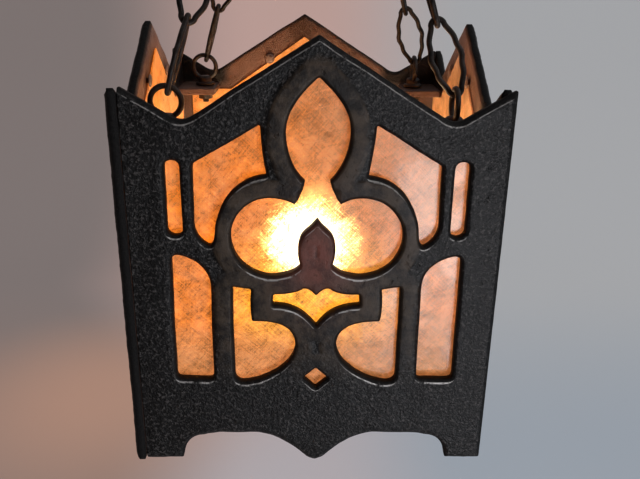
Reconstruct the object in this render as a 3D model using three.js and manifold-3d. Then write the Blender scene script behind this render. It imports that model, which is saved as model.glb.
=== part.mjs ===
// Gothic cast-iron pendant lantern: four gabled tracery panels with mica behind them, hung by four chains.
// Millimetres, +Z up. The origin is the centre of the ceiling plate's flat top face, and the front looks to -Y.

import * as THREE from 'three';
import * as BufferGeometryUtils from 'three/addons/utils/BufferGeometryUtils.js';
import Module from 'manifold-3d';

const wasm = await Module();
wasm.setup();

// Clearances
const FIT = 0.3; // between pieces that rest on, or fit in, each other
const TURN_FIT = 0.5; // between pieces that turn on each other

// Lantern body, heights counted up from the soles of its feet
const BODY_WIDTH = 254;
const PANEL_THICKNESS = 9;
const PEAK_HEIGHT = 301.5;
const VALLEY_HEIGHT = 248;
const VALLEY_OFFSET = 85.4; // from the gable's middle line
const CORNER_HEIGHT = 270;
const VALLEY_ROUNDING = 7;
const FOOT_WIDTH = 26;
const FOOT_CURVE_RUN = 32; // from a foot's inner side to the arch's level top
const ARCH_HEIGHT = 21.8;
const CENTRE_CURVE_RUN = 41; // from the arch's level top to the middle point
const CENTRE_POINT_HALF_WIDTH = 5;
const CENTRE_POINT_DROP = 2; // the bottom's middle point reaches below the feet
const TRACERY_SIDE_MARGIN = 25.2; // from the panel's sides to the outermost openings
const TRACERY_PEAK_MARGIN = 24.5;
const TRACERY_VALLEY_MARGIN = 21.5; // from the valleys down to the tops of the slots
const TRACERY_BOTTOM = 59.8;
const CURVE_STEPS = 3;
const TREFOIL_STEPS = 5;

// Mica sheets
const MICA_THICKNESS = 1;
const MICA_SIDE_MARGIN = 8; // from the inner corners
const MICA_PEAK_MARGIN = 20; // below the panel's peak
const MICA_BOTTOM = 57;
const STUD_RADIUS = 2;
const STUD_HEAD_RADIUS = 4.5;
const STUD_HEAD_THICKNESS = 1.5;
const BOTTOM_STUD_SHARE = 2 / 3; // of the mica's half width
const SIDE_STUD_SHARES = [0.2, 0.75]; // of the mica's straight side
const GABLE_STUD_SHARE = 0.45; // of the mica's gable edge

// Corner plates and their eye bolts
const PLATE_WIDTH = 34; // along X
const PLATE_DEPTH = 44; // along Y
const PLATE_THICKNESS = 6;
const PLATE_TOP = 240;
const BOLT_INSET = 23.5; // from the panels' inner faces
const BOLT_RADIUS = 3.1;
const BOLT_TAIL = 3; // of thread below the nut
const EYE_RADIUS = 10.2; // to the middle of the wire
const EYE_WIRE_RADIUS = 2;
const EYE_COLLAR_RADIUS = 6.2;
const EYE_COLLAR_HEIGHT = 8.5;
const EYE_FLANGE_RADIUS = 8.3;
const EYE_FLANGE_HEIGHT = 2.8;
const EYE_FLANGE_FILLET = 0.6;
const EYE_COLLAR_BEVEL_HEIGHT = 1.5;
const EYE_COLLAR_BEVEL_WIDTH = 1.8;
const EYE_RISE = 16.3; // from the plate to the eye's centre
const NUT_ACROSS_FLATS = 11.1;
const NUT_HEIGHT = 5.6;

// Chains: one link is wavy, with narrow ends and a full middle
const LINKS_PER_CHAIN = 7;
const LINK_WIRE_RADIUS = 1.9;
const LINK_SIDES = 5;
const LINK_HALF_LENGTH = 25.3; // to the middle of the end wire
const LINK_END_HALF_WIDTH = 4.9;
const LINK_MIDDLE_HALF_WIDTH = 10.4;
const LINK_END_ROUNDING = 2.6; // from an end's tip to where its wire starts to straighten
const LINK_WAVE = 1.5; // how far the wavy sides bend in beside the middle

// Master ring, hook and ceiling plate
const RING_RADIUS = 30;
const RING_WIRE_RADIUS = 2.2;
const RING_PLANE_TURN = Math.PI / 4; // from the X axis
const TOP_LINK_INNER_ANGLE = THREE.MathUtils.degToRad(5.5);
const TOP_LINK_OUTER_ANGLE = THREE.MathUtils.degToRad(17);
const HOOK_WIRE_RADIUS = 3;
const HOOK_BEND_RADIUS = 12;
const HOOK_SWEEP = THREE.MathUtils.degToRad(295);
const HOOK_SHANK_RADIUS = 4;
const HOOK_SHANK_BELOW_NUT = 7;
const HOOK_HEAD_RADIUS = 6.6;
const HOOK_HEAD_HEIGHT = 5;
const CEILING_PLATE_RADIUS = 45;
const CEILING_PLATE_RIM = 3;
const CEILING_PLATE_THICKNESS = 7;
const CEILING_PLATE_BEVEL_WIDTH = 3;
const CEILING_PLATE_BEVEL_HEIGHT = 1;
const BOSS_RADIUS = 13;
const BOSS_BOTTOM = 25; // below the ceiling
const BOSS_BEVEL = 1;
const BOSS_FILLET = 4;
const SOCKET_NUT_DEPTH = 8; // of the swivel nut inside the boss
const BOSS_BORE_RADIUS = 8;
const SWIVEL_NUT_ACROSS_FLATS = 19;
const SWIVEL_NUT_HEIGHT = 4;
const SCREW_HOLE_RADIUS = 2.6;
const SCREW_SINK_RADIUS = 8; // of the countersink's cone, just below the plate
const SCREW_LAND = 1.5; // of straight hole under the plate's top face
const SCREW_HOLE_OFFSET = 32;

// Lamp holder and bulb
const STRAP_WIDTH = 16;
const STRAP_THICKNESS = 3;
const NIPPLE_RADIUS = 5;
const NIPPLE_BORE_RADIUS = 3.2;
const NIPPLE_ABOVE_STRAP = 9;
const NIPPLE_BELOW_STRAP = 9;
const LOCKNUT_ACROSS_FLATS = 15.9;
const LOCKNUT_HEIGHT = 4;
const CAP_NECK_RADIUS = 8;
const CAP_RADIUS = 19;
const CAP_HEIGHT = 21;
const CAP_WALL = 1.2;
const SHELL_RADIUS = 17.5;
const SHELL_LENGTH = 36;
const SHELL_TOP_THICKNESS = 5;
const SHELL_WALL_STEP = 0.5; // of the shell above its bead, inside its nominal radius
const SHELL_BEAD = 0.8; // beyond the nominal radius
const SHELL_BEAD_HEIGHT = 2;
const BASE_RADIUS = 13;
const BASE_LENGTH = 24;
const BASE_WALL = 1;
const BASE_SHOULDER = 6; // from the contact down to the base's full width
const BASE_RUNNING_CLEARANCE = 0.8;
const CONTACT_RADIUS = 4.7;
const CONTACT_HEIGHT = 1.6;
const CONTACT_REST_GAP = 0.4; // to the socket's own contact
const SOCKET_CONTACT_RADIUS = 4;
const SOCKET_CONTACT_HEIGHT = 2.5;
const GLASS_RADIUS = 30;
const GLASS_LENGTH = 88; // of glass below the base's rim
const GLASS_NECK_RADIUS = 11.5;
const GLASS_WALL = 1;
const GLASS_NECK_LAP = 6; // of the neck inside the base
const GLASS_NECK_STRAIGHT = 2; // of straight neck below the base
const GLASS_TAPER_RISE = 1.15; // of the glass radius, from the globe's centre to the taper's middle
const GLASS_TAPER_HOLLOW = 3;

const material = (color, roughness, metalness, extra = {}) =>
  new THREE.MeshStandardMaterial({ color, roughness, metalness, ...extra });
const castIron = material(0x26211e, 0.75, 0.6);
const forgedIron = material(0x2b2522, 0.6, 0.7);
const chainIron = material(0x2e2825, 0.55, 0.75);
const mica = material(0xd07a35, 0.4, 0, { transparent: true, opacity: 0.85 });
const brass = material(0x8a6a35, 0.4, 0.9);
const aluminium = material(0xb8b8b4, 0.35, 0.9);
const bulbGlass = material(0xfff0d0, 0.3, 0, { transparent: true, opacity: 0.9 });

const pendant = new THREE.Group();

// Shape helpers

function toSolid(geometry) {
  const bare = geometry.index ? geometry.clone() : BufferGeometryUtils.mergeVertices(geometry);
  bare.deleteAttribute('normal');
  bare.deleteAttribute('uv');
  const merged = BufferGeometryUtils.mergeVertices(bare, 1e-4);
  return new wasm.Manifold(
    new wasm.Mesh({
      numProp: 3,
      vertProperties: Float32Array.from(merged.attributes.position.array),
      triVerts: Uint32Array.from(merged.index.array),
    }),
  );
}

function toGeometry(solid) {
  const mesh = solid.getMesh();
  const geometry = new THREE.BufferGeometry();
  geometry.setAttribute('position', new THREE.BufferAttribute(mesh.vertProperties, 3));
  geometry.setIndex(new THREE.BufferAttribute(mesh.triVerts, 1));
  return geometry;
}

const join = (...geometries) => toGeometry(geometries.map(toSolid).reduce((sum, next) => sum.add(next)));
const cut = (geometry, ...tools) =>
  toGeometry(tools.map(toSolid).reduce((left, tool) => left.subtract(tool), toSolid(geometry)));

function addPiece(name, geometry, finish, parent = pendant) {
  const mesh = new THREE.Mesh(geometry, finish);
  mesh.name = name;
  parent.add(mesh);
  return mesh;
}

// An upright cylinder from one height to another
function rod(radius, bottom, top, sides = 16) {
  const geometry = new THREE.CylinderGeometry(radius, radius, top - bottom, sides);
  return geometry.rotateX(Math.PI / 2).translate(0, 0, (top + bottom) / 2);
}

// An upright solid of revolution; profile holds [radius, height] pairs, from the axis up its outside and back
function turned(profile, sides = 24) {
  const points = profile.map(([radius, height]) => new THREE.Vector2(radius, height));
  return new THREE.LatheGeometry(points, sides).rotateX(Math.PI / 2);
}

function hexNut(acrossFlats, boreRadius, bottom, top) {
  const outer = rod(acrossFlats / 2 / Math.cos(Math.PI / 6), bottom, top, 6);
  return cut(outer, rod(boreRadius, bottom - 1, top + 1, 16));
}

// A round wire bent in the XY plane through the given points, as one closed body
function bentWire(points, radius, sides, closed) {
  const count = points.length;
  const positions = [];
  const indices = [];
  for (let i = 0; i < count; i++) {
    const before = closed ? points[(i + count - 1) % count] : points[Math.max(i - 1, 0)];
    const after = closed ? points[(i + 1) % count] : points[Math.min(i + 1, count - 1)];
    const along = after.clone().sub(before).normalize();
    for (let k = 0; k < sides; k++) {
      const angle = (2 * Math.PI * (k + 0.5)) / sides;
      const across = radius * Math.cos(angle);
      positions.push(points[i].x + along.y * across, points[i].y - along.x * across, radius * Math.sin(angle));
    }
  }
  const rings = closed ? count : count - 1;
  for (let i = 0; i < rings; i++) {
    for (let k = 0; k < sides; k++) {
      const a = i * sides + k;
      const b = i * sides + ((k + 1) % sides);
      const c = ((i + 1) % count) * sides + k;
      const d = ((i + 1) % count) * sides + ((k + 1) % sides);
      indices.push(a, c, b, b, c, d);
    }
  }
  if (!closed) {
    const last = (count - 1) * sides;
    for (let k = 1; k < sides - 1; k++) {
      indices.push(0, k, k + 1);
      indices.push(last, last + k + 1, last + k);
    }
  }
  const geometry = new THREE.BufferGeometry();
  geometry.setAttribute('position', new THREE.Float32BufferAttribute(positions, 3));
  geometry.setIndex(indices);
  return geometry;
}

function arcPoints(radius, start, sweep, steps) {
  const closed = Math.abs(sweep) >= 2 * Math.PI;
  const count = closed ? steps : steps + 1;
  return Array.from({ length: count }, (_, i) => {
    const angle = start + (sweep * i) / steps;
    return new THREE.Vector2(radius * Math.cos(angle), radius * Math.sin(angle));
  });
}

// Panels lie in their own plane, with x from the middle line and y up

const panelHalfWidth = (BODY_WIDTH - PANEL_THICKNESS) / 2;
const innerHalf = BODY_WIDTH / 2 - PANEL_THICKNESS;

function panelOutline() {
  const foot = panelHalfWidth - FOOT_WIDTH;
  const buttEnd = -panelHalfWidth + FIT;
  const cornerSlope = (CORNER_HEIGHT - VALLEY_HEIGHT) / (panelHalfWidth - VALLEY_OFFSET);
  const gableSlope = (PEAK_HEIGHT - VALLEY_HEIGHT) / VALLEY_OFFSET;
  const shape = new THREE.Shape();
  const footSide = (share) => foot - share * FOOT_CURVE_RUN;
  const middleSide = (share) => CENTRE_POINT_HALF_WIDTH + share * CENTRE_CURVE_RUN;
  const arch = (share) => share * ARCH_HEIGHT;
  shape.moveTo(buttEnd, 0);
  shape.lineTo(-foot, 0);
  shape.bezierCurveTo(-footSide(0.06), arch(0.5), -footSide(0.12), arch(0.87), -footSide(0.5), arch(0.91));
  shape.quadraticCurveTo(-footSide(0.69), ARCH_HEIGHT, -footSide(1), ARCH_HEIGHT);
  shape.lineTo(-middleSide(1), ARCH_HEIGHT);
  shape.bezierCurveTo(-middleSide(0.51), ARCH_HEIGHT, -middleSide(0.24), arch(0.41), -middleSide(0), 0);
  shape.lineTo(0, -CENTRE_POINT_DROP);
  shape.lineTo(middleSide(0), 0);
  shape.bezierCurveTo(middleSide(0.24), arch(0.41), middleSide(0.51), ARCH_HEIGHT, middleSide(1), ARCH_HEIGHT);
  shape.lineTo(footSide(1), ARCH_HEIGHT);
  shape.quadraticCurveTo(footSide(0.69), ARCH_HEIGHT, footSide(0.5), arch(0.91));
  shape.bezierCurveTo(footSide(0.12), arch(0.87), footSide(0.06), arch(0.5), foot, 0);
  shape.lineTo(panelHalfWidth, 0);
  shape.lineTo(panelHalfWidth, CORNER_HEIGHT);
  for (const side of [1, -1]) {
    const corner = side * (VALLEY_OFFSET + VALLEY_ROUNDING);
    const gable = side * (VALLEY_OFFSET - VALLEY_ROUNDING);
    const [from, fromSlope, to, toSlope] =
      side > 0 ? [corner, cornerSlope, gable, gableSlope] : [gable, gableSlope, corner, cornerSlope];
    shape.lineTo(from, VALLEY_HEIGHT + VALLEY_ROUNDING * fromSlope);
    shape.quadraticCurveTo(side * VALLEY_OFFSET, VALLEY_HEIGHT, to, VALLEY_HEIGHT + VALLEY_ROUNDING * toSlope);
    if (side > 0) shape.lineTo(0, PEAK_HEIGHT);
  }
  shape.lineTo(buttEnd, CORNER_HEIGHT - FIT * cornerSlope);
  return shape;
}

// The tracery's curves are drawn on a sheet of this size, which is stretched onto the panel inside its margins:
// its lowest line, the tops of its slots and its highest point each keep their distance from the outline
const sheet = { halfWidth: 97.3, low: 59.8, slotTop: 226.5, high: 277 };

function stretched(path, steps) {
  const acrossScale = (panelHalfWidth - TRACERY_SIDE_MARGIN) / sheet.halfWidth;
  const slotTop = VALLEY_HEIGHT - TRACERY_VALLEY_MARGIN;
  const lowerScale = (slotTop - TRACERY_BOTTOM) / (sheet.slotTop - sheet.low);
  const upperScale = (PEAK_HEIGHT - TRACERY_PEAK_MARGIN - slotTop) / (sheet.high - sheet.slotTop);
  const height = (y) => slotTop + (y - sheet.slotTop) * (y < sheet.slotTop ? lowerScale : upperScale);
  return new THREE.Path(path.getPoints(steps).map(({ x, y }) => new THREE.Vector2(x * acrossScale, height(y))));
}

// An opening on the right of the middle line and its mirror image on the left
function mirrored(draw) {
  return [1, -1].map((side) => {
    const path = new THREE.Path();
    const pen = {
      move: (x, y) => path.moveTo(side * x, y),
      line: (x, y) => path.lineTo(side * x, y),
      bend: (cx, cy, x, y) => path.quadraticCurveTo(side * cx, cy, side * x, y),
      curve: (ax, ay, bx, by, x, y) => path.bezierCurveTo(side * ax, ay, side * bx, by, side * x, y),
    };
    draw(pen);
    return stretched(path, CURVE_STEPS);
  });
}

function slot(pen) {
  pen.move(87.3, 178.5);
  pen.line(87.3, 220.5);
  pen.curve(87.3, 226.5, 97.3, 226.5, 97.3, 220.5);
  pen.line(97.3, 178.5);
  pen.curve(97.3, 172.5, 87.3, 172.5, 87.3, 178.5);
}

function upperWindow(pen) {
  pen.move(36.3, 248);
  pen.line(79.3, 222);
  pen.line(80, 181);
  pen.bend(79, 171.5, 70.5, 167);
  pen.bend(67, 168.5, 66.5, 180);
  pen.curve(63, 202, 49, 213.5, 32.3, 215.3);
  pen.bend(35.5, 231, 36.3, 248);
}

function heart(pen) {
  pen.move(44, 136.5);
  pen.line(56.5, 138.5);
  pen.line(56.6, 71);
  pen.bend(56.5, 64.5, 50, 64.5);
  pen.curve(33, 66, 14.2, 79, 14.2, 95);
  pen.curve(14.2, 106, 23, 113.5, 43.5, 112.5);
  pen.bend(45.5, 124, 44, 136.5);
}

function lowerWindow(pen) {
  pen.move(96.6, 155.5);
  pen.bend(96.5, 161, 91.5, 160.6);
  pen.curve(82, 158.5, 70.8, 152, 70.8, 137);
  pen.line(71.4, 70.5);
  pen.bend(71.4, 66.8, 75, 66.8);
  pen.line(93.5, 66.8);
  pen.bend(97.2, 66.8, 97.2, 70.5);
}

// A path that is its own mirror image, from its right-hand half drawn from top to bottom
function symmetric(half) {
  const right = half.getPoints();
  const left = right
    .toReversed()
    .filter((point) => point.x > 1e-6)
    .map((point) => new THREE.Vector2(-point.x, point.y));
  return new THREE.Path([...right, ...left]);
}

function trefoil() {
  const lobe = { x: 29.5, y: 173.5, radius: 27.2, start: 125, end: -107 };
  const turn = THREE.MathUtils.degToRad;
  const half = new THREE.Path();
  half.moveTo(0, 277);
  half.bezierCurveTo(12, 266, 20.2, 256, 20.2, 242.5);
  half.bezierCurveTo(20.2, 230, 15.2, 218, 7.2, 210.5);
  half.absarc(lobe.x, lobe.y, lobe.radius, turn(lobe.start), turn(lobe.end), true);
  half.quadraticCurveTo(15.5, 148.3, 10.6, 153.5);
  half.bezierCurveTo(13, 161, 13.5, 168.5, 10, 175);
  half.bezierCurveTo(8, 178.5, 3, 181, 0, 186.5);
  return symmetric(stretched(half, TREFOIL_STEPS));
}

function moustache() {
  const half = new THREE.Path();
  half.moveTo(0, 131.5);
  half.quadraticCurveTo(4.5, 137.5, 9, 137);
  half.quadraticCurveTo(14, 132.5, 29, 133.2);
  half.lineTo(29.5, 124.8);
  half.bezierCurveTo(17, 124.8, 8, 120.5, 0, 108.5);
  return symmetric(stretched(half, CURVE_STEPS));
}

function diamond() {
  const half = new THREE.Path();
  half.moveTo(0, 76.3);
  half.lineTo(9, 68);
  half.lineTo(0, 59.8);
  return symmetric(stretched(half, CURVE_STEPS));
}

// Peened studs that lap over the mica's edge: on both sides, along the gable and under the bottom edge
const micaHalfWidth = innerHalf - PANEL_THICKNESS / 2 - MICA_SIDE_MARGIN;
const micaPeak = PEAK_HEIGHT - MICA_PEAK_MARGIN;
const micaShoulder = PLATE_TOP - PLATE_THICKNESS - 2 * FIT;
const micaShoulderOffset = innerHalf - Math.max(PLATE_WIDTH, PLATE_DEPTH) - 2 * FIT - PANEL_THICKNESS / 2;

function studPlaces() {
  const beside = STUD_RADIUS + FIT;
  const gableRun = new THREE.Vector2(micaShoulderOffset, micaShoulder - micaPeak);
  const outward = new THREE.Vector2(-gableRun.y, gableRun.x).normalize().multiplyScalar(beside);
  const onGable = gableRun.clone().multiplyScalar(GABLE_STUD_SHARE);
  const places = [[micaHalfWidth * BOTTOM_STUD_SHARE, MICA_BOTTOM - beside]];
  for (const share of SIDE_STUD_SHARES) {
    places.push([micaHalfWidth + beside, MICA_BOTTOM + share * (micaShoulder - MICA_BOTTOM)]);
  }
  places.push([onGable.x + outward.x, micaPeak + onGable.y + outward.y]);
  return places.flatMap(([x, y]) => [[x, y], [-x, y]]);
}

function panelGeometry() {
  const shape = panelOutline();
  shape.holes = [...mirrored(slot), ...mirrored(upperWindow), ...mirrored(heart), ...mirrored(lowerWindow)];
  shape.holes.push(trefoil(), moustache(), diamond());
  const slab = new THREE.ExtrudeGeometry(shape, {
    depth: PANEL_THICKNESS,
    curveSegments: CURVE_STEPS,
    bevelEnabled: false,
  });
  const headBottom = -MICA_THICKNESS - 2 * FIT;
  const studs = studPlaces().flatMap(([x, y]) => [
    rod(STUD_RADIUS, headBottom - STUD_HEAD_THICKNESS / 2, 1, 6).translate(x, y, 0),
    rod(STUD_HEAD_RADIUS, headBottom - STUD_HEAD_THICKNESS, headBottom, 8).translate(x, y, 0),
  ]);
  return join(slab, ...studs);
}

function micaGeometry() {
  const shape = new THREE.Shape();
  shape.moveTo(-micaHalfWidth, MICA_BOTTOM);
  shape.lineTo(micaHalfWidth, MICA_BOTTOM);
  shape.lineTo(micaHalfWidth, micaShoulder);
  shape.lineTo(micaShoulderOffset, micaShoulder);
  shape.lineTo(0, micaPeak);
  shape.lineTo(-micaShoulderOffset, micaShoulder);
  shape.lineTo(-micaHalfWidth, micaShoulder);
  return new THREE.ExtrudeGeometry(shape, { depth: MICA_THICKNESS, bevelEnabled: false });
}

// Corner hardware, drawn about the bolt's own line with z = 0 on top of the corner plate

function cornerPlateGeometry(towardX, towardY) {
  const plate = new THREE.BoxGeometry(PLATE_WIDTH, PLATE_DEPTH, PLATE_THICKNESS);
  const offsetX = towardX * (BOLT_INSET - FIT - PLATE_WIDTH / 2);
  const offsetY = towardY * (BOLT_INSET - FIT - PLATE_DEPTH / 2);
  plate.translate(offsetX, offsetY, -PLATE_THICKNESS / 2);
  return cut(plate, rod(BOLT_RADIUS + FIT, -PLATE_THICKNESS - 1, 1, 12));
}

function eyeBoltGeometry(eyeTurn, stackHeight) {
  const ring = bentWire(arcPoints(EYE_RADIUS, 0, 2 * Math.PI, 16), EYE_WIRE_RADIUS, 6, true);
  ring.rotateX(Math.PI / 2).rotateZ(eyeTurn).translate(0, 0, EYE_RISE);
  const stem = turned(
    [
      [0, -stackHeight - NUT_HEIGHT - BOLT_TAIL],
      [BOLT_RADIUS, -stackHeight - NUT_HEIGHT - BOLT_TAIL],
      [BOLT_RADIUS, FIT],
      [EYE_FLANGE_RADIUS, FIT],
      [EYE_FLANGE_RADIUS, EYE_FLANGE_HEIGHT],
      [EYE_COLLAR_RADIUS, EYE_FLANGE_HEIGHT + EYE_FLANGE_FILLET],
      [EYE_COLLAR_RADIUS, EYE_COLLAR_HEIGHT - EYE_COLLAR_BEVEL_HEIGHT],
      [EYE_COLLAR_RADIUS - EYE_COLLAR_BEVEL_WIDTH, EYE_COLLAR_HEIGHT],
      [0, EYE_COLLAR_HEIGHT],
    ],
    12,
  );
  return join(ring, stem);
}

// Chains

function linkGeometry() {
  const quarter = [
    [LINK_HALF_LENGTH, LINK_END_HALF_WIDTH / 3],
    [LINK_HALF_LENGTH - LINK_END_ROUNDING, LINK_END_HALF_WIDTH - LINK_WAVE / 2],
    [LINK_HALF_LENGTH - 2 * LINK_END_ROUNDING, LINK_END_HALF_WIDTH],
    [LINK_HALF_LENGTH / 2, LINK_MIDDLE_HALF_WIDTH - 1.5 * LINK_WAVE],
    [LINK_HALF_LENGTH / 4, LINK_MIDDLE_HALF_WIDTH - LINK_WAVE],
  ];
  const top = [...quarter, [0, LINK_MIDDLE_HALF_WIDTH], ...quarter.toReversed().map(([x, y]) => [-x, y])];
  const bottom = top.toReversed().map(([x, y]) => [x, -y]);
  const points = [...top, ...bottom].map(([x, y]) => new THREE.Vector2(x, y));
  return bentWire(points, LINK_WIRE_RADIUS, LINK_SIDES, true);
}

const boltOffset = innerHalf - BOLT_INSET;
const corners = [
  { name: 'front_left', x: -1, y: -1, eyeTurn: 0, ringSlot: -TOP_LINK_OUTER_ANGLE, strap: true },
  { name: 'front_right', x: 1, y: -1, eyeTurn: Math.PI / 2, ringSlot: TOP_LINK_INNER_ANGLE, strap: false },
  { name: 'back_left', x: -1, y: 1, eyeTurn: 0, ringSlot: -TOP_LINK_INNER_ANGLE, strap: false },
  { name: 'back_right', x: 1, y: 1, eyeTurn: Math.PI / 2, ringSlot: TOP_LINK_OUTER_ANGLE, strap: true },
];

const nutBottom = -BOSS_BOTTOM - FIT - SWIVEL_NUT_HEIGHT;
const hookCentre = nutBottom - HOOK_SHANK_BELOW_NUT - HOOK_BEND_RADIUS;
const hookSaddle = hookCentre - HOOK_BEND_RADIUS;
const ringCentre = hookSaddle + HOOK_WIRE_RADIUS + FIT + RING_WIRE_RADIUS - RING_RADIUS;
const ringAlong = new THREE.Vector3(Math.cos(RING_PLANE_TURN), Math.sin(RING_PLANE_TURN), 0);
const up = new THREE.Vector3(0, 0, 1);

const endReach = (wireRadius, gap) => wireRadius + gap + LINK_WIRE_RADIUS;
const linkPitch = 2 * LINK_HALF_LENGTH - endReach(LINK_WIRE_RADIUS, FIT);
const chainReach =
  LINKS_PER_CHAIN * linkPitch + endReach(LINK_WIRE_RADIUS, FIT) - endReach(EYE_WIRE_RADIUS, FIT)
  - endReach(RING_WIRE_RADIUS, TURN_FIT);

// Where each chain meets the master ring, and which way the ring's wire runs there
function ringSeat(angle) {
  const point = ringAlong.clone().multiplyScalar(RING_RADIUS * Math.sin(angle));
  point.z = ringCentre - RING_RADIUS * Math.cos(angle);
  const wire = ringAlong.clone().multiplyScalar(Math.cos(angle)).addScaledVector(up, Math.sin(angle));
  return { point, wire };
}

// The point of the eye's wire that the taut chain pulls on, for an eye centre at the given height
function eyeSeat(corner, height) {
  const centre = new THREE.Vector3(corner.x * boltOffset, corner.y * boltOffset, height);
  const pull = ringSeat(corner.ringSlot).point.sub(centre);
  const eyeNormal = new THREE.Vector3(-Math.sin(corner.eyeTurn), Math.cos(corner.eyeTurn), 0);
  const inPlane = pull.addScaledVector(eyeNormal, -pull.dot(eyeNormal)).normalize();
  const wire = new THREE.Vector3().crossVectors(inPlane, eyeNormal);
  return { point: centre.addScaledVector(inPlane, EYE_RADIUS), wire };
}

// The eyes' height at which the chain with the shortest way to go is taut
function tautEyeHeight() {
  let height = ringCentre - RING_RADIUS - chainReach;
  for (let pass = 0; pass < 40; pass++) {
    const slack = corners.map((corner) => {
      const length = eyeSeat(corner, height).point.distanceTo(ringSeat(corner.ringSlot).point);
      return chainReach - length;
    });
    height -= Math.max(...slack);
  }
  return height;
}

const eyeHeight = tautEyeHeight();
const bodyBase = eyeHeight - EYE_RISE - PLATE_TOP;

function addChain(corner) {
  const low = eyeSeat(corner, eyeHeight);
  const high = ringSeat(corner.ringSlot);
  const along = high.point.clone().sub(low.point);
  const gapShare = (along.length() - chainReach) / (LINKS_PER_CHAIN + 1);
  along.normalize();
  const side = low.wire.clone().addScaledVector(along, -low.wire.dot(along)).normalize();
  const turnOf = (direction) => {
    const third = new THREE.Vector3().crossVectors(along, side);
    return Math.atan2(direction.dot(third), direction.dot(side));
  };
  const steps = LINKS_PER_CHAIN - 1;
  const wanted = turnOf(high.wire) - (steps * Math.PI) / 2;
  const twist = (wanted - Math.PI * Math.round(wanted / Math.PI)) / Math.max(steps, 1);
  const firstCentre = LINK_HALF_LENGTH - endReach(EYE_WIRE_RADIUS, FIT) + gapShare;
  for (let i = 0; i < LINKS_PER_CHAIN; i++) {
    const normal = side.clone().applyAxisAngle(along, i * (Math.PI / 2 + twist));
    const across = new THREE.Vector3().crossVectors(normal, along);
    const link = addPiece(`chain_link_${corner.name}_${i + 1}`, linkGeometry(), chainIron);
    link.quaternion.setFromRotationMatrix(new THREE.Matrix4().makeBasis(along, across, normal));
    link.position.copy(low.point).addScaledVector(along, firstCentre + i * (linkPitch + gapShare));
  }
}

// Lantern body

const body = new THREE.Group();
body.position.z = bodyBase;
pendant.add(body);

['front', 'right', 'back', 'left'].forEach((name, quarter) => {
  const wall = new THREE.Group();
  wall.rotation.z = (quarter * Math.PI) / 2;
  body.add(wall);
  const panel = addPiece(`frame_panel_${name}`, panelGeometry(), castIron, wall);
  panel.rotation.x = Math.PI / 2;
  panel.position.set(PANEL_THICKNESS / 2, -innerHalf, 0);
  const sheet = addPiece(`mica_sheet_${name}`, micaGeometry(), mica, wall);
  sheet.rotation.x = Math.PI / 2;
  sheet.position.set(PANEL_THICKNESS / 2, -innerHalf + FIT + MICA_THICKNESS, 0);
});

for (const corner of corners) {
  const hardware = new THREE.Group();
  hardware.position.set(corner.x * boltOffset, corner.y * boltOffset, PLATE_TOP);
  body.add(hardware);
  const strapShare = corner.strap ? STRAP_THICKNESS + FIT : 0;
  const stack = PLATE_THICKNESS + strapShare + FIT;
  addPiece(`corner_plate_${corner.name}`, cornerPlateGeometry(corner.x, corner.y), castIron, hardware);
  addPiece(`eye_bolt_${corner.name}`, eyeBoltGeometry(corner.eyeTurn, stack), forgedIron, hardware);
  const nut = hexNut(NUT_ACROSS_FLATS, BOLT_RADIUS + FIT, -stack - NUT_HEIGHT, -stack);
  addPiece(`hex_nut_${corner.name}`, nut, forgedIron, hardware);
  addChain(corner);
}

// Lamp holder on a strap from corner to corner, drawn about the lantern's middle line

const strapTop = PLATE_TOP - PLATE_THICKNESS - FIT;
const strapBottom = strapTop - STRAP_THICKNESS;

function strapGeometry() {
  const boltReach = boltOffset * Math.SQRT2;
  const shape = new THREE.Shape();
  shape.absarc(boltReach, 0, STRAP_WIDTH / 2, -Math.PI / 2, Math.PI / 2);
  shape.absarc(-boltReach, 0, STRAP_WIDTH / 2, Math.PI / 2, (3 * Math.PI) / 2);
  const hole = (x, radius) => new THREE.Path().absarc(x, 0, radius, 0, 2 * Math.PI);
  shape.holes = [-boltReach, boltReach].map((x) => hole(x, BOLT_RADIUS + FIT));
  shape.holes.push(hole(0, NIPPLE_RADIUS + FIT));
  return new THREE.ExtrudeGeometry(shape, { depth: STRAP_THICKNESS, curveSegments: 8, bevelEnabled: false });
}

const strap = addPiece('socket_strap', strapGeometry(), forgedIron, body);
strap.rotation.z = Math.PI / 4;
strap.position.z = strapBottom;

const nippleTop = strapTop + NIPPLE_ABOVE_STRAP;
const nippleBottom = strapBottom - NIPPLE_BELOW_STRAP;
const nipple = cut(
  rod(NIPPLE_RADIUS, nippleBottom, nippleTop),
  rod(NIPPLE_BORE_RADIUS, nippleBottom - 1, nippleTop + 1, 12),
);
addPiece('socket_nipple', nipple, brass, body);
const locknutBottom = strapTop + FIT;
const locknut = hexNut(LOCKNUT_ACROSS_FLATS, NIPPLE_RADIUS + FIT, locknutBottom, locknutBottom + LOCKNUT_HEIGHT);
addPiece('nipple_locknut', locknut, forgedIron, body);

const capTop = strapBottom - FIT;
const capBottom = capTop - CAP_HEIGHT;
const cap = turned([
  [NIPPLE_RADIUS + FIT, capTop],
  [NIPPLE_RADIUS + FIT, capTop - CAP_HEIGHT * 0.3],
  [CAP_NECK_RADIUS - CAP_WALL + 1, capTop - CAP_HEIGHT * 0.4],
  [CAP_RADIUS - CAP_WALL, capTop - CAP_HEIGHT * 0.75],
  [CAP_RADIUS - CAP_WALL, capBottom],
  [CAP_RADIUS, capBottom],
  [CAP_RADIUS, capTop - CAP_HEIGHT * 0.7],
  [CAP_NECK_RADIUS + 1, capTop - CAP_HEIGHT * 0.25],
  [CAP_NECK_RADIUS, capTop],
  [NIPPLE_RADIUS + FIT, capTop],
]);
addPiece('socket_cap', cap, brass, body);

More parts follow.
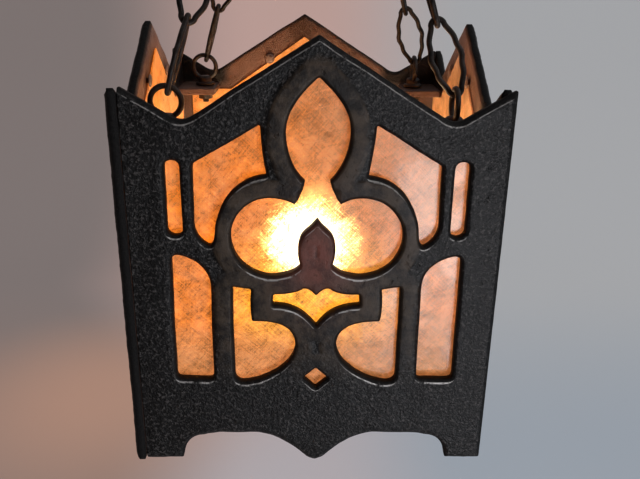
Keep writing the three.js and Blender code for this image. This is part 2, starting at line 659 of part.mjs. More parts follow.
// The shell's closed top carries the socket's own centre contact, and its bore takes the bulb's base
const shellTop = capBottom + CAP_HEIGHT * 0.2;
const shellBottom = shellTop - SHELL_LENGTH;
const boreRadius = BASE_RADIUS + BASE_RUNNING_CLEARANCE;
const boreTop = shellTop - SHELL_TOP_THICKNESS;
const socketContact = boreTop - SOCKET_CONTACT_HEIGHT;
const shell = turned([
  [0, socketContact],
  [SOCKET_CONTACT_RADIUS, socketContact],
  [SOCKET_CONTACT_RADIUS, boreTop],
  [boreRadius, boreTop],
  [boreRadius, shellBottom],
  [SHELL_RADIUS + SHELL_BEAD, shellBottom],
  [SHELL_RADIUS + SHELL_BEAD, shellBottom + SHELL_BEAD_HEIGHT],
  [SHELL_RADIUS - SHELL_WALL_STEP, shellBottom + SHELL_BEAD_HEIGHT + 1],
  [SHELL_RADIUS - SHELL_WALL_STEP, shellTop],
  [0, shellTop],
]);
addPiece('socket_shell', shell, brass, body);

const contactTop = socketContact - CONTACT_REST_GAP;
const contactBottom = contactTop - CONTACT_HEIGHT;
addPiece('bulb_contact', rod(CONTACT_RADIUS, contactBottom, contactTop, 16), brass, body);

const baseTop = contactBottom - FIT;
const baseBottom = baseTop - BASE_LENGTH;
const base = turned([
  [0, baseTop - BASE_SHOULDER / 2 - BASE_WALL],
  [BASE_RADIUS - BASE_WALL, baseTop - BASE_SHOULDER - BASE_WALL],
  [BASE_RADIUS - BASE_WALL, baseBottom],
  [BASE_RADIUS, baseBottom],
  [BASE_RADIUS, baseTop - BASE_SHOULDER],
  [CONTACT_RADIUS, baseTop],
  [0, baseTop],
]);
addPiece('bulb_base', base, aluminium, body);

// A pear-shaped glass, open at the neck inside its base
const glassTop = baseBottom + GLASS_NECK_LAP;
const glassTip = baseBottom - GLASS_LENGTH;
const globeCentre = glassTip + GLASS_RADIUS;

function glassGeometry() {
  const outline = (shrink) => {
    const globe = [-90, -65, -40, -15, 10, 35].map((degrees) => {
      const angle = THREE.MathUtils.degToRad(degrees);
      const radius = GLASS_RADIUS - shrink;
      return [radius * Math.cos(angle), globeCentre + radius * Math.sin(angle)];
    });
    globe[0][0] = 0;
    const neckTaper = globeCentre + GLASS_RADIUS * GLASS_TAPER_RISE;
    globe.push([(GLASS_RADIUS + GLASS_NECK_RADIUS) / 2 - shrink - GLASS_TAPER_HOLLOW, neckTaper]);
    globe.push([GLASS_NECK_RADIUS - shrink, baseBottom - GLASS_NECK_STRAIGHT]);
    globe.push([GLASS_NECK_RADIUS - shrink, glassTop]);
    return globe;
  };
  return turned([...outline(0), ...outline(GLASS_WALL).reverse()], 20);
}
addPiece('bulb_glass', glassGeometry(), bulbGlass, body);

// Master ring, swivel hook and ceiling plate

const ring = bentWire(arcPoints(RING_RADIUS, 0, 2 * Math.PI, 30), RING_WIRE_RADIUS, 6, true);
const masterRing = addPiece('master_ring', ring.rotateX(Math.PI / 2), forgedIron);
masterRing.rotation.z = RING_PLANE_TURN;
masterRing.position.z = ringCentre;

const swivelNutTop = -BOSS_BOTTOM + SOCKET_NUT_DEPTH;
const hookHeadBottom = swivelNutTop + FIT;

function hookGeometry() {
  const bend = arcPoints(HOOK_BEND_RADIUS, Math.PI / 2, -HOOK_SWEEP, 16);
  const wire = bentWire(bend, HOOK_WIRE_RADIUS, 8, false).rotateX(Math.PI / 2).translate(0, 0, hookCentre);
  const bendTop = hookCentre + HOOK_BEND_RADIUS;
  const shank = turned(
    [
      [0, bendTop - HOOK_WIRE_RADIUS / 2],
      [HOOK_WIRE_RADIUS, bendTop - HOOK_WIRE_RADIUS / 2],
      [HOOK_SHANK_RADIUS, bendTop + HOOK_WIRE_RADIUS],
      [HOOK_SHANK_RADIUS, hookHeadBottom],
      [HOOK_HEAD_RADIUS, hookHeadBottom],
      [HOOK_HEAD_RADIUS, hookHeadBottom + HOOK_HEAD_HEIGHT],
      [0, hookHeadBottom + HOOK_HEAD_HEIGHT],
    ],
    16,
  );
  return join(wire, shank);
}
const hook = addPiece('ceiling_hook', hookGeometry(), forgedIron);
hook.rotation.z = RING_PLANE_TURN - Math.PI / 2;

const nutBody = rod(BOSS_BORE_RADIUS - FIT, -BOSS_BOTTOM - FIT - SWIVEL_NUT_HEIGHT / 2, swivelNutTop, 16);
const nutHead = rod(SWIVEL_NUT_ACROSS_FLATS / 2 / Math.cos(Math.PI / 6), nutBottom, -BOSS_BOTTOM - FIT, 6);
const nutBore = rod(HOOK_SHANK_RADIUS + TURN_FIT, nutBottom - 1, swivelNutTop + 1, 16);
addPiece('swivel_nut', cut(join(nutBody, nutHead), nutBore), forgedIron);

function ceilingPlateGeometry() {
  const plate = turned(
    [
      [0, -CEILING_PLATE_THICKNESS],
      [BOSS_BORE_RADIUS, -CEILING_PLATE_THICKNESS],
      [BOSS_BORE_RADIUS, -BOSS_BOTTOM],
      [BOSS_RADIUS - BOSS_BEVEL, -BOSS_BOTTOM],
      [BOSS_RADIUS, -BOSS_BOTTOM + BOSS_BEVEL],
      [BOSS_RADIUS, -CEILING_PLATE_THICKNESS - BOSS_FILLET],
      [BOSS_RADIUS + BOSS_FILLET, -CEILING_PLATE_THICKNESS],
      [CEILING_PLATE_RADIUS - CEILING_PLATE_BEVEL_WIDTH, -CEILING_PLATE_RIM],
      [CEILING_PLATE_RADIUS, -CEILING_PLATE_RIM + CEILING_PLATE_BEVEL_HEIGHT],
      [CEILING_PLATE_RADIUS, 0],
      [0, 0],
    ],
    24,
  );
  const screwHole = turned(
    [
      [0, -CEILING_PLATE_THICKNESS - BOSS_FILLET],
      [SCREW_SINK_RADIUS, -CEILING_PLATE_THICKNESS - BOSS_FILLET],
      [SCREW_HOLE_RADIUS, -SCREW_LAND],
      [SCREW_HOLE_RADIUS, 1],
      [0, 1],
    ],
    12,
  );
  const holes = [-1, 1].map((side) => screwHole.clone().translate(side * SCREW_HOLE_OFFSET, 0, 0));
  return cut(plate, ...holes);
}
addPiece('ceiling_plate', ceilingPlateGeometry(), castIron);

export default pendant;
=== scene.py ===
"""A square Gothic lantern of cast iron and mica on four chains, dressed for the picture.

Lengths are millimetres until a mesh is made. A panel lies in its own plane: u from its middle line,
v up and w outwards.
"""

import math

import bmesh
import bpy
import numpy as np
from mathutils import Matrix, Vector, geometry


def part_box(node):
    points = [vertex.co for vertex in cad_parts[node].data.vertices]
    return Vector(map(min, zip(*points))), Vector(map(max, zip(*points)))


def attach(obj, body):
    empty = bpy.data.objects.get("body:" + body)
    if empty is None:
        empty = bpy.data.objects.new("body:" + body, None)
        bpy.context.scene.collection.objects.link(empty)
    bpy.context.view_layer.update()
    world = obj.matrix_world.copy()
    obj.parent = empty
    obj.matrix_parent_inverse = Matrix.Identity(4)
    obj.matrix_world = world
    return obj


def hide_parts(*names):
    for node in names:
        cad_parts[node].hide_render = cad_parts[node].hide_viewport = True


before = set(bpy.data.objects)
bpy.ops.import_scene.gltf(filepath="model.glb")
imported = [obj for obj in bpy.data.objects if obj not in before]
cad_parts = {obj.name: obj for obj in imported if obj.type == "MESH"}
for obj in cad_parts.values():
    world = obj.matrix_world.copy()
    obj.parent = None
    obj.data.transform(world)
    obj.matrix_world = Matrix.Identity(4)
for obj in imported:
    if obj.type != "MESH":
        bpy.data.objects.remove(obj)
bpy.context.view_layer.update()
MM = 0.001


def span(node):
    """The lowest and highest corners of a solid, in millimetres."""
    return [np.array(corner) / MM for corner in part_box(node)]


def heights(node):
    """The lowest and highest point of a solid."""
    return [corner[2] for corner in span(node)]


# Sizes shared with the solids

WALLS = ("front", "right", "back", "left")
CORNERS = {"front_left": (-1, -1), "front_right": (1, -1), "back_left": (-1, 1), "back_right": (1, 1)}
PANEL_THICKNESS = 9
POINT_DROP = 2
PEAK, VALLEY, VALLEY_AT, CORNER = 301.5, 248, 85.4, 270
VALLEY_ROUND = 7
FOOT_WIDTH, ARCH = 26, 21.8
FIT = 0.3  # clear between fitted pieces
MICA_THICKNESS = 1
MICA_MARGIN, MICA_PEAK_DROP, MICA_BOTTOM = 8, 20, 57
PLATE_TOP, PLATE_THICKNESS = 240, 6
PLATE_WIDTH, PLATE_DEPTH = 34, 44
STRAP_THICKNESS = 3
LINKS = 7
WIRE = 1.9

outer_half = span("frame_panel_front")[1][0]
inner_half = outer_half - PANEL_THICKNESS
panel_half = outer_half - PANEL_THICKNESS / 2
sole = heights("frame_panel_front")[0] + POINT_DROP


# Surfaces


class Surface:
    """Points in millimetres, faces between them, and a number per point for each mark that finishes read."""

    def __init__(self, points, faces, **marks):
        self.points = np.asarray(points, float).reshape(-1, 3)
        self.faces = [np.asarray(group, int) for group in faces if len(group)]
        self.marks = {name: np.ones(len(self.points)) * value for name, value in marks.items()}

    def __add__(self, other):
        """Both surfaces in one, the second's point numbers moved up."""
        marks = {}
        for name in {*self.marks, *other.marks}:
            halves = [part.marks.get(name, np.zeros(len(part.points))) for part in (self, other)]
            marks[name] = np.concatenate(halves)
        faces = self.faces + [group + len(self.points) for group in other.faces]
        return Surface(np.vstack([self.points, other.points]), faces, **marks)

    def placed(self, turn=None, at=(0, 0, 0)):
        """The surface turned and then moved: p becomes turn p + at."""
        points = self.points if turn is None else self.points @ np.asarray(turn, float).T
        return Surface(points + np.asarray(at, float), self.faces, **self.marks)

    def flipped(self):
        """The surface with its faces looking the other way."""
        return Surface(self.points, [group[:, ::-1] for group in self.faces], **self.marks)


def turn_z(degrees):
    return np.array(Matrix.Rotation(math.radians(degrees), 3, "Z"))


UPRIGHT = np.array([[1, 0, 0], [0, 0, -1], [0, 1, 0]])  # a drawing's up becomes Z, and its face looks to -Y


def round_angles(count):
    """Angles evenly spaced round a whole turn, in radians."""
    return np.linspace(0, 2 * np.pi, count, endpoint=False)


def circle(radius, count):
    angle = round_angles(count)
    return radius * np.column_stack([np.cos(angle), np.sin(angle)])


def ripple(points, length, seed, waves=9):
    """Smooth unevenness of about -1 to 1: a sum of sines, with directions, wavelengths and phases drawn
    from the seed."""
    chance = np.random.default_rng(seed)
    directions = chance.normal(size=(waves, points.shape[1]))
    directions /= np.linalg.norm(directions, axis=1, keepdims=True)
    numbers = 2 * np.pi / (length * chance.uniform(0.6, 1.7, waves))
    phases = chance.uniform(0, 2 * np.pi, waves)
    return np.sin(points @ (directions.T * numbers) + phases).sum(axis=1) / math.sqrt(2 * waves)


def ripples(points, seed, *scales):
    """Ripples laid over each other, each from a height and a wavelength in millimetres."""
    return sum(height * ripple(points, length, seed + k) for k, (height, length) in enumerate(scales))


def skin(grid, rows_closed=False, **marks):
    """Quads between neighbours of a grid of closed rows round a form; the rows too close where asked."""
    rows, columns = grid.shape[:2]
    number = np.arange(rows * columns).reshape(rows, columns)
    if rows_closed:
        number = np.vstack([number, number[:1]])
    number = np.hstack([number, number[:, :1]])
    corners = (number[:-1, :-1], number[:-1, 1:], number[1:, 1:], number[1:, :-1])
    return Surface(grid, [np.stack(corners, axis=-1).reshape(-1, 4)], **marks)


def ended(grid):
    """The grid with its first and last rows drawn together to a point, which closes the form."""
    first = np.broadcast_to(grid[:1].mean(axis=1, keepdims=True), grid[:1].shape)
    last = np.broadcast_to(grid[-1:].mean(axis=1, keepdims=True), grid[-1:].shape)
    return np.concatenate([first, grid, last])


def eased(profile, radius, steps=4):
    """A profile whose inner corners are quadratic curves that start and end a radius from the corner."""
    points = np.asarray(profile, float)
    before, corner, after = points[:-2], points[1:-1], points[2:]
    back, ahead = before - corner, after - corner
    back_length = np.linalg.norm(back, axis=1, keepdims=True)
    ahead_length = np.linalg.norm(ahead, axis=1, keepdims=True)
    start = corner + back / back_length * np.minimum(radius, 0.45 * back_length)
    end = corner + ahead / ahead_length * np.minimum(radius, 0.45 * ahead_length)
    t = np.linspace(0, 1, steps + 1)[None, :, None]
    curve = (1 - t) ** 2 * start[:, None] + 2 * t * (1 - t) * corner[:, None] + t**2 * end[:, None]
    return np.vstack([points[:1], curve.reshape(-1, points.shape[1]), points[-1:]])


def round_grid(radius, height, sides):
    """Points at a radius and height for each angle round Z."""
    angle = round_angles(sides)[None]
    return np.stack([radius * np.cos(angle), radius * np.sin(angle), height + 0 * angle], axis=-1)


def turned(profile, sides=48, **marks):
    """A profile of (radius, height) pairs carried round Z: x = r cos a, y = r sin a."""
    radius, height = np.asarray(profile, float).T[:, :, None]
    return skin(round_grid(radius, height, sides), **marks)


def hex_turned(across_flats, profile, sides=60):
    """As turned, but within a hexagon: r <= (flats / 2) / cos(a from the middle of the nearest side)."""
    radius, height = np.asarray(profile, float).T[:, :, None]
    angle = round_angles(sides)[None]
    side = (across_flats / 2) / np.cos((angle + np.pi / 6) % (np.pi / 3) - np.pi / 6)
    return skin(round_grid(np.minimum(radius, side), height, sides))


def hex_nut(across_flats, bore, bottom, top):
    """A nut with a turned chamfer on both ends: the hexagon cut by a steep cone at each."""
    tip = across_flats / math.sqrt(3)
    flat = across_flats / 2 * 0.97
    lift = (tip - flat) * 0.5
    heights = [bottom, bottom + 0.35 * lift, bottom + 0.7 * lift, bottom + lift]
    reach = [flat, flat + 0.4 * (tip - flat), flat + 0.8 * (tip - flat), tip]
    rim = list(zip(reach, heights))
    rim += [(r, bottom + top - z) for r, z in reversed(rim)]
    return hex_turned(across_flats, [(bore, bottom), *rim, (bore, top), (bore, bottom)])


def screw_thread(core, crest, pitch, bottom, top, sides=32, rows_per_turn=10):
    """A thread: r = core + depth * tooth(z / pitch - a / 2 pi), its cosine tooth faded at both ends."""
    rows = max(6, round((top - bottom) / pitch * rows_per_turn))
    height = np.linspace(bottom, top, rows)[:, None]
    tooth = 0.5 + 0.5 * np.cos(2 * np.pi * height / pitch - round_angles(sides)[None])
    fade = np.clip(np.minimum(height - bottom, top - height) / (0.6 * pitch), 0, 1)
    return round_grid(core + (crest - core) * tooth * fade, height, sides)


def wire(path, radius, sides=16, closed=True):
    """A round wire along a flat path: ring k is path + r (cos a * left of the path + sin a * Z). Open ends
    are domed."""
    path = np.asarray(path, float)
    if closed:
        along = np.roll(path, -1, axis=0) - np.roll(path, 1, axis=0)
    else:
        along = np.gradient(path, axis=0)
    along /= np.linalg.norm(along, axis=1, keepdims=True)
    radius = np.ones(len(path)) * radius
    if not closed:
        dome = np.radians([75, 50, 25])
        first = path[0] - along[0] * radius[0] * np.sin(dome)[:, None]
        last = path[-1] + along[-1] * radius[-1] * np.sin(dome[::-1])[:, None]
        path = np.vstack([first, path, last])
        along = np.vstack([along[[0] * 3], along, along[[-1] * 3]])
        radius = np.concatenate([radius[0] * np.cos(dome), radius, radius[-1] * np.cos(dome[::-1])])
    angle = round_angles(sides)[None]
    left = np.column_stack([-along[:, 1], along[:, 0]])
    flat = path[:, None] + (radius[:, None] * np.cos(angle))[..., None] * left[:, None]
    grid = np.dstack([flat, radius[:, None] * np.sin(angle)])
    return skin(grid, rows_closed=True) if closed else skin(ended(grid))


def smooth_loop(corners, steps):
    """A closed curve through the corners: between two, the Catmull-Rom cubic of the four nearest."""
    knots = np.asarray(corners, float)
    t = (np.arange(steps) / steps)[:, None, None]
    a, b, c, d = (np.roll(knots, shift, axis=0)[None] for shift in (1, 0, -1, -2))
    curve = 2 * b + (c - a) * t + (2 * a - 5 * b + 4 * c - d) * t**2 + (3 * b - a - 3 * c + d) * t**3
    return (curve / 2).transpose(1, 0, 2).reshape(-1, knots.shape[1])


# Flat castings: an outline with holes, rounded along every edge


def trace(start, *curves, spacing=1.2):
    """Points along lines and Bezier curves end to end: B(t) sums the controls by Bernstein's weights."""
    here, points = np.asarray(start, float), []
    for controls in curves:
        hull = np.vstack([here, np.reshape(controls, (-1, 2))])
        steps = max(1, round(np.linalg.norm(np.diff(hull, axis=0), axis=1).sum() / spacing))
        t = np.arange(steps)[:, None] / steps
        degree = len(hull) - 1
        weights = [math.comb(degree, k) * (1 - t) ** (degree - k) * t**k for k in range(degree + 1)]
        points.append(sum(weight * corner for weight, corner in zip(weights, hull)))
        here = hull[-1]
    return np.vstack([*points, here])


def arc(centre, radius, start, end, spacing=1.2):
    """Points on a circle between two angles in degrees: centre + r (cos a, sin a)."""
    steps = max(2, round(abs(math.radians(end - start)) * radius / spacing))
    angle = np.radians(np.linspace(start, end, steps + 1))
    return np.asarray(centre) + radius * np.column_stack([np.cos(angle), np.sin(angle)])


def mirror_joined(half):
    """A loop that is its own mirror image, from its right-hand half listed from top to bottom."""
    return np.vstack([half, half[::-1] * (-1, 1)])


def distinct(loop):
    """The loop without points that repeat the one before."""
    return loop[np.linalg.norm(loop - np.roll(loop, 1, axis=0), axis=1) > 1e-4]


def softened(loop, passes):
    """The loop with its sharp corners worn: each pass moves a point halfway to its neighbours' middle."""
    for _ in range(passes):
        loop = 0.5 * loop + 0.25 * (np.roll(loop, 1, axis=0) + np.roll(loop, -1, axis=0))
    return loop


def signed_area(loop):
    """Half the sum of x y' - x' y over each point and the next, positive for a loop turning left."""
    ahead = np.roll(loop, -1, axis=0)
    return 0.5 * (loop[:, 0] * ahead[:, 1] - ahead[:, 0] * loop[:, 1]).sum()


def metal_on_left(loop, is_hole):
    """The loop in the direction that keeps the metal on its left."""
    return loop[::-1] if (signed_area(loop) > 0) == is_hole else loop


def distance_to(points, loops):
    """Each point's distance to the nearest edge: to a + clamp((p - a).d / d.d) d, over every edge a, d."""
    starts = np.vstack(loops)
    runs = np.vstack([np.roll(loop, -1, axis=0) - loop for loop in loops])
    squares = (runs**2).sum(axis=1)
    nearest = np.empty(len(points))
    for block in range(0, len(points), 1500):
        offset = points[block : block + 1500, None] - starts
        share = np.clip((offset * runs).sum(axis=-1) / squares, 0, 1)
        gap = offset - share[..., None] * runs
        nearest[block : block + 1500] = np.sqrt((gap**2).sum(axis=-1).min(axis=1))
    return nearest


def inside(points, loops):
    """True where a level line from the point to the right crosses the loops an odd number of times."""
    starts = np.vstack(loops)
    ends = np.vstack([np.roll(loop, -1, axis=0) for loop in loops])
    crossed = np.zeros(len(points), int)
    for block in range(0, len(points), 3000):
        x, y = points[block : block + 3000].T[:, :, None]
        straddles = (starts[:, 1] > y) != (ends[:, 1] > y)
        rise = np.where(ends[:, 1] == starts[:, 1], 1, ends[:, 1] - starts[:, 1])
        meets = starts[:, 0] + (y - starts[:, 1]) / rise * (ends[:, 0] - starts[:, 0])
        crossed[block : block + 3000] = (straddles & (x < meets)).sum(axis=1)
    return crossed % 2 == 1


def beside(loop, distance):
    """Points at a distance on the left of each corner, along the mitre of its two edges."""
    ahead = np.roll(loop, -1, axis=0) - loop
    ahead /= np.linalg.norm(ahead, axis=1, keepdims=True)
    normal = np.column_stack([-ahead[:, 1], ahead[:, 0]])
    both = normal + np.roll(normal, 1, axis=0)
    length = np.maximum((both**2).sum(axis=1, keepdims=True) / 2, 0.5)
    return loop + distance * both / length


BEVEL_ROWS = (0.14, 0.5, 0.96, 1.08)  # rows of points across a bevel, as shares of its width
BEVEL_SLOPE, BEVEL_CURVE = 0.8, 1.15
WORN_WIDTH = 0.42
END_BAND = 0.5  # how near to an end a point of the outline counts as the end


class Casting:
    """The plan of a flat casting: its loops, and a triangle mesh of the metal between them, finer near edges
    and along ridges, which run at given distances from given loops. A butt end keeps its face unbevelled."""

    def __init__(self, outline, holes, rounds, spacing, ridge_loops=(), ridge_distances=(), butt=None):
        self.outline = [metal_on_left(distinct(outline), False)]
        self.holes = [metal_on_left(distinct(hole), True) for hole in holes]
        self.loops = self.outline + self.holes
        self.rounds, self.spacing = rounds, spacing
        self.ridge_loops, self.ridge_distances = ridge_loops, np.asarray(ridge_distances)
        rows = self.bevel_points() + self.ridge_points()
        self.make_mesh(np.vstack([*self.loops, *rows, self.field_points()]))
        on_face, on_back = self.outline[0].copy(), self.outline[0].copy()
        if butt is not None:
            on_face[on_face[:, 0] < butt + END_BAND, 0] -= 2 * rounds[0]
            at_end = np.abs(on_back[:, 0]) > -butt - END_BAND
            on_back[at_end, 0] += np.sign(on_back[at_end, 0]) * 2 * rounds[0]
        self.outline_gap = distance_to(self.plan, [on_face])
        self.back_gap = distance_to(self.plan, [on_back])
        self.hole_gap = distance_to(self.plan, self.holes) if self.holes else self.outline_gap + 1e3
        step = 0.05
        rise = distance_to(self.plan + (0, step), self.loops) - distance_to(self.plan, self.loops)
        self.facing_up = np.clip(-rise / step, 0, 1)

    def ridge_misses(self, points):
        """Each point's distance to the nearest ridge."""
        near = distance_to(points, self.ridge_loops)
        return np.abs(near[:, None] - self.ridge_distances).min(axis=1)

    def bevel_points(self):
        """Rows beside every loop, without the points that another edge is nearer to."""
        rows = []
        for loop in self.loops:
            width = self.rounds[0] if loop is self.outline[0] else self.rounds[1]
            rows += [(beside(loop, width * share), width * share) for share in BEVEL_ROWS]
        return [row[distance_to(row, self.loops) > 0.93 * gap] for row, gap in rows]

    def ridge_points(self):
        """Rows on both sides of each step, where they lie in metal and clear of the bevels."""
        loops = [metal_on_left(loop, True) for loop in self.ridge_loops]
        if not loops:
            return []
        points = np.vstack([beside(loop, gap) for loop in loops for gap in self.ridge_distances])
        clear = distance_to(points, self.loops) > max(self.rounds) * 1.15
        return [points[(self.ridge_misses(points) < 0.05) & clear & inside(points, self.loops)]]

    def field_points(self):
        """A triangular grid over the rest of the metal, clear of the bevels and the ridges."""
        edge = np.vstack(self.loops)
        low, high = edge.min(axis=0), edge.max(axis=0)
        across = np.arange(low[0], high[0], self.spacing)
        up = np.arange(low[1], high[1], self.spacing * 0.87)
        across, up = np.meshgrid(across, up, indexing="ij")
        across = across + self.spacing / 2 * (np.arange(across.shape[1]) % 2)
        field = np.column_stack([across.ravel(), up.ravel()])
        field = field[inside(field, self.loops)]
        free = distance_to(field, self.loops) > max(self.rounds) + 0.3 * self.spacing
        if len(self.ridge_loops):
            free &= self.ridge_misses(field) > 0.35 * self.spacing
        return field[free]

    def make_mesh(self, plan):
        """A Delaunay mesh through the points that keeps the loops' edges, without the triangles in holes."""
        counts = [len(loop) for loop in self.loops]
        firsts = np.concatenate([[0], np.cumsum(counts)[:-1]])
        self.rings = [np.arange(first, first + count) for first, count in zip(firsts, counts)]
        bars = np.vstack([np.column_stack([ring, np.roll(ring, -1)]) for ring in self.rings])
        made = geometry.delaunay_2d_cdt([Vector(p) for p in plan.tolist()], bars.tolist(), [], 0, 1e-5)
        self.plan = np.array([tuple(v) for v in made[0]])
        assert np.allclose(self.plan[: sum(counts)], plan[: sum(counts)], atol=1e-4)
        triangles = np.array(made[2])
        self.triangles = triangles[inside(self.plan[triangles].mean(axis=1), self.loops)]

    def bevel_gaps(self, outline_gap):
        return ((outline_gap, self.rounds[0]), (self.hole_gap, self.rounds[1]))

    def drop(self, outline_gap):
        """How far a bevel brings each point down: slope * width * (1 - gap / width)^curve in its width."""
        gaps = self.bevel_gaps(outline_gap)
        falls = [width * np.clip(1 - gap / width, 0, 1) ** BEVEL_CURVE for gap, width in gaps]
        return BEVEL_SLOPE * np.maximum(*falls)

    def solid(self, thickness, relief=0.0, back_scale=0.6, **marks):
        """Face at thickness - drop + relief, back at a share of its own drop, and the walls between them.
        Marks: wear where a bevel meets the face, most where it looks up, partly a painted highlight; painted
        shade on bevels and walls; back on the back."""
        front = thickness - self.drop(self.outline_gap) + relief
        back = back_scale * self.drop(self.back_gap)
        count = len(self.plan)
        points = np.vstack([np.column_stack([self.plan, front]), np.column_stack([self.plan, back])])
        faces = [self.triangles, self.triangles[:, ::-1] + count]
        for ring in self.rings:
            ahead = np.roll(ring, -1)
            faces.append(np.column_stack([ring + count, ahead + count, ahead, ring]))
        bevels = self.bevel_gaps(self.outline_gap)
        # Worn edges, partly a painted highlight: lighter where a bevel meets the face, most where it looks
        # up.
        worn = np.maximum(*[np.exp(-(((gap - width) / WORN_WIDTH) ** 2)) for gap, width in bevels])
        worn = worn * (0.15 + 0.85 * self.facing_up)
        # Painted shade: bevels and walls are made near black, and the back carries it all over, under its
        # rust.
        soot = np.maximum(*[np.clip(1.7 - 2 * gap / width, 0, 1) for gap, width in bevels])
        inner = np.clip(np.minimum(self.outline_gap, self.hole_gap) / 3, 0, 1)
        marks = {name: np.concatenate([value, value]) for name, value in marks.items()}
        marks["wear"] = np.concatenate([worn, 0 * worn])
        marks["soot"] = np.concatenate([soot, np.ones(count)])
        marks["back"] = np.concatenate([0 * inner, inner])
        return Surface(points, faces, **marks)


# Panel drawing, with the same curves as the solid's


def gable_outline():
    """Gable, rounded valley, raised corner, foot and arch, mirrored, and cut square at the butt end."""
    foot = panel_half - FOOT_WIDTH
    corner_slope = (CORNER - VALLEY) / (panel_half - VALLEY_AT)
    gable_slope = (PEAK - VALLEY) / VALLEY_AT
    right = trace(
        (0, PEAK), (VALLEY_AT - VALLEY_ROUND, VALLEY + VALLEY_ROUND * gable_slope),
        (VALLEY_AT, VALLEY, VALLEY_AT + VALLEY_ROUND, VALLEY + VALLEY_ROUND * corner_slope),
        (panel_half, CORNER), (panel_half, 0), (foot, 0),
        (foot - 1.9, 10.9, foot - 3.8, 19, foot - 16, 19.8), (foot - 22, ARCH, foot - 32, ARCH),
        (46, ARCH), (25.9, ARCH, 14.8, 8.9, 5, 0), (0, -POINT_DROP),
    )
    loop = mirror_joined(right)
    return np.column_stack([np.maximum(loop[:, 0], BUTT_END), loop[:, 1]])


def window_loops():
    """The right-hand slot, upper window and lower window, each of lines and Bezier curves."""
    slot = trace(
        (87.3, 178.5), (87.3, 220.5), (87.3, 226.5, 97.3, 226.5, 97.3, 220.5), (97.3, 178.5),
        (97.3, 172.5, 87.3, 172.5, 87.3, 178.5),
    )
    upper = trace(
        (36.3, 248), (79.3, 222), (80, 181), (79, 171.5, 70.5, 167), (67, 168.5, 66.5, 180),
        (63, 202, 49, 213.5, 32.3, 215.3), (35.5, 231, 36.3, 248),
    )
    lower = trace(
        (96.6, 155.5), (96.5, 161, 91.5, 160.6), (82, 158.5, 70.8, 152, 70.8, 137), (71.4, 70.5),
        (71.4, 66.8, 75, 66.8), (93.5, 66.8), (97.2, 66.8, 97.2, 70.5), (96.6, 155.5),
    )
    return [slot, upper, lower]


def ornament_loops():
    """Trefoil with lancet, lobes and spike, moustache, diamond and hearts, drawn as right-hand halves."""
    lancet = trace((0, 277), (12, 266, 20.2, 256, 20.2, 242.5), (20.2, 230, 15.2, 218, 7.2, 210.5))
    lobe = arc((29.5, 173.5), 27.2, 125, -107)
    spike = trace(
        lobe[-1],
        (15.5, 148.3, 10.6, 153.5), (13, 161, 13.5, 168.5, 10, 175), (8, 178.5, 3, 181, 0, 186.5),
    )
    trefoil = np.vstack([lancet, lobe, spike])
    moustache = trace(
        (0, 131.5), (4.5, 137.5, 9, 137), (14, 132.5, 29, 133.2), (29.5, 124.8),
        (17, 124.8, 8, 120.5, 0, 108.5),
    )
    diamond = trace((0, 76.3), (9, 68), (0, 59.8))
    heart = trace(
        (44, 136.5), (56.5, 138.5), (56.6, 71), (56.5, 64.5, 50, 64.5),
        (33, 66, 14.2, 79, 14.2, 95), (14.2, 106, 23, 113.5, 43.5, 112.5), (45.5, 124, 44, 136.5),
    )
    whole = [mirror_joined(half) for half in (trefoil, moustache, diamond)]
    return [*whole, heart, heart * (-1, 1)]


BUTT_END = 0.08 - panel_half
PANEL_BEVELS = (2.9, 2.1)  # widths at the outline and at the openings
BAND = 12  # the raised border round the ornament
BAND_RISE = 0.75
BAND_EDGE = (BAND - 0.6, BAND, BAND + 0.7)
BAND_FADE = (58, 108)  # heights between which the band rises out of the plain casting
RELIEF_RIPPLES = ((0.28, 34), (0.15, 11), (0.09, 5))  # heights and wavelengths
BACK_RIPPLES = ((0.25, 18), (0.1, 6))
EDGE_WANDER = ((0.28, (42, 38)), (0.09, (9, 8)))  # amounts, and wavelengths across and up
# Middle and reach of the reddening: heat browning, and partly a painted glare of the lamp.
HEAT_AND_GLARE_CENTRE, HEAT_AND_GLARE_REACH = (0, 160), 29

ornament = [softened(distinct(loop), 1) for loop in ornament_loops()]
windows = [softened(distinct(loop * (side, 1)), 2) for loop in window_loops() for side in (1, -1)]
panel_outline = softened(distinct(gable_outline()), 1)
panel_plan = Casting(panel_outline, ornament + windows, PANEL_BEVELS, 2.6, ornament, BAND_EDGE, BUTT_END)
ornament_gap = distance_to(panel_plan.plan, ornament)


def smooth_step(share):
    """share^2 (3 - 2 share), with the share held between 0 and 1."""
    share = np.clip(share, 0, 1)
    return share * share * (3 - 2 * share)


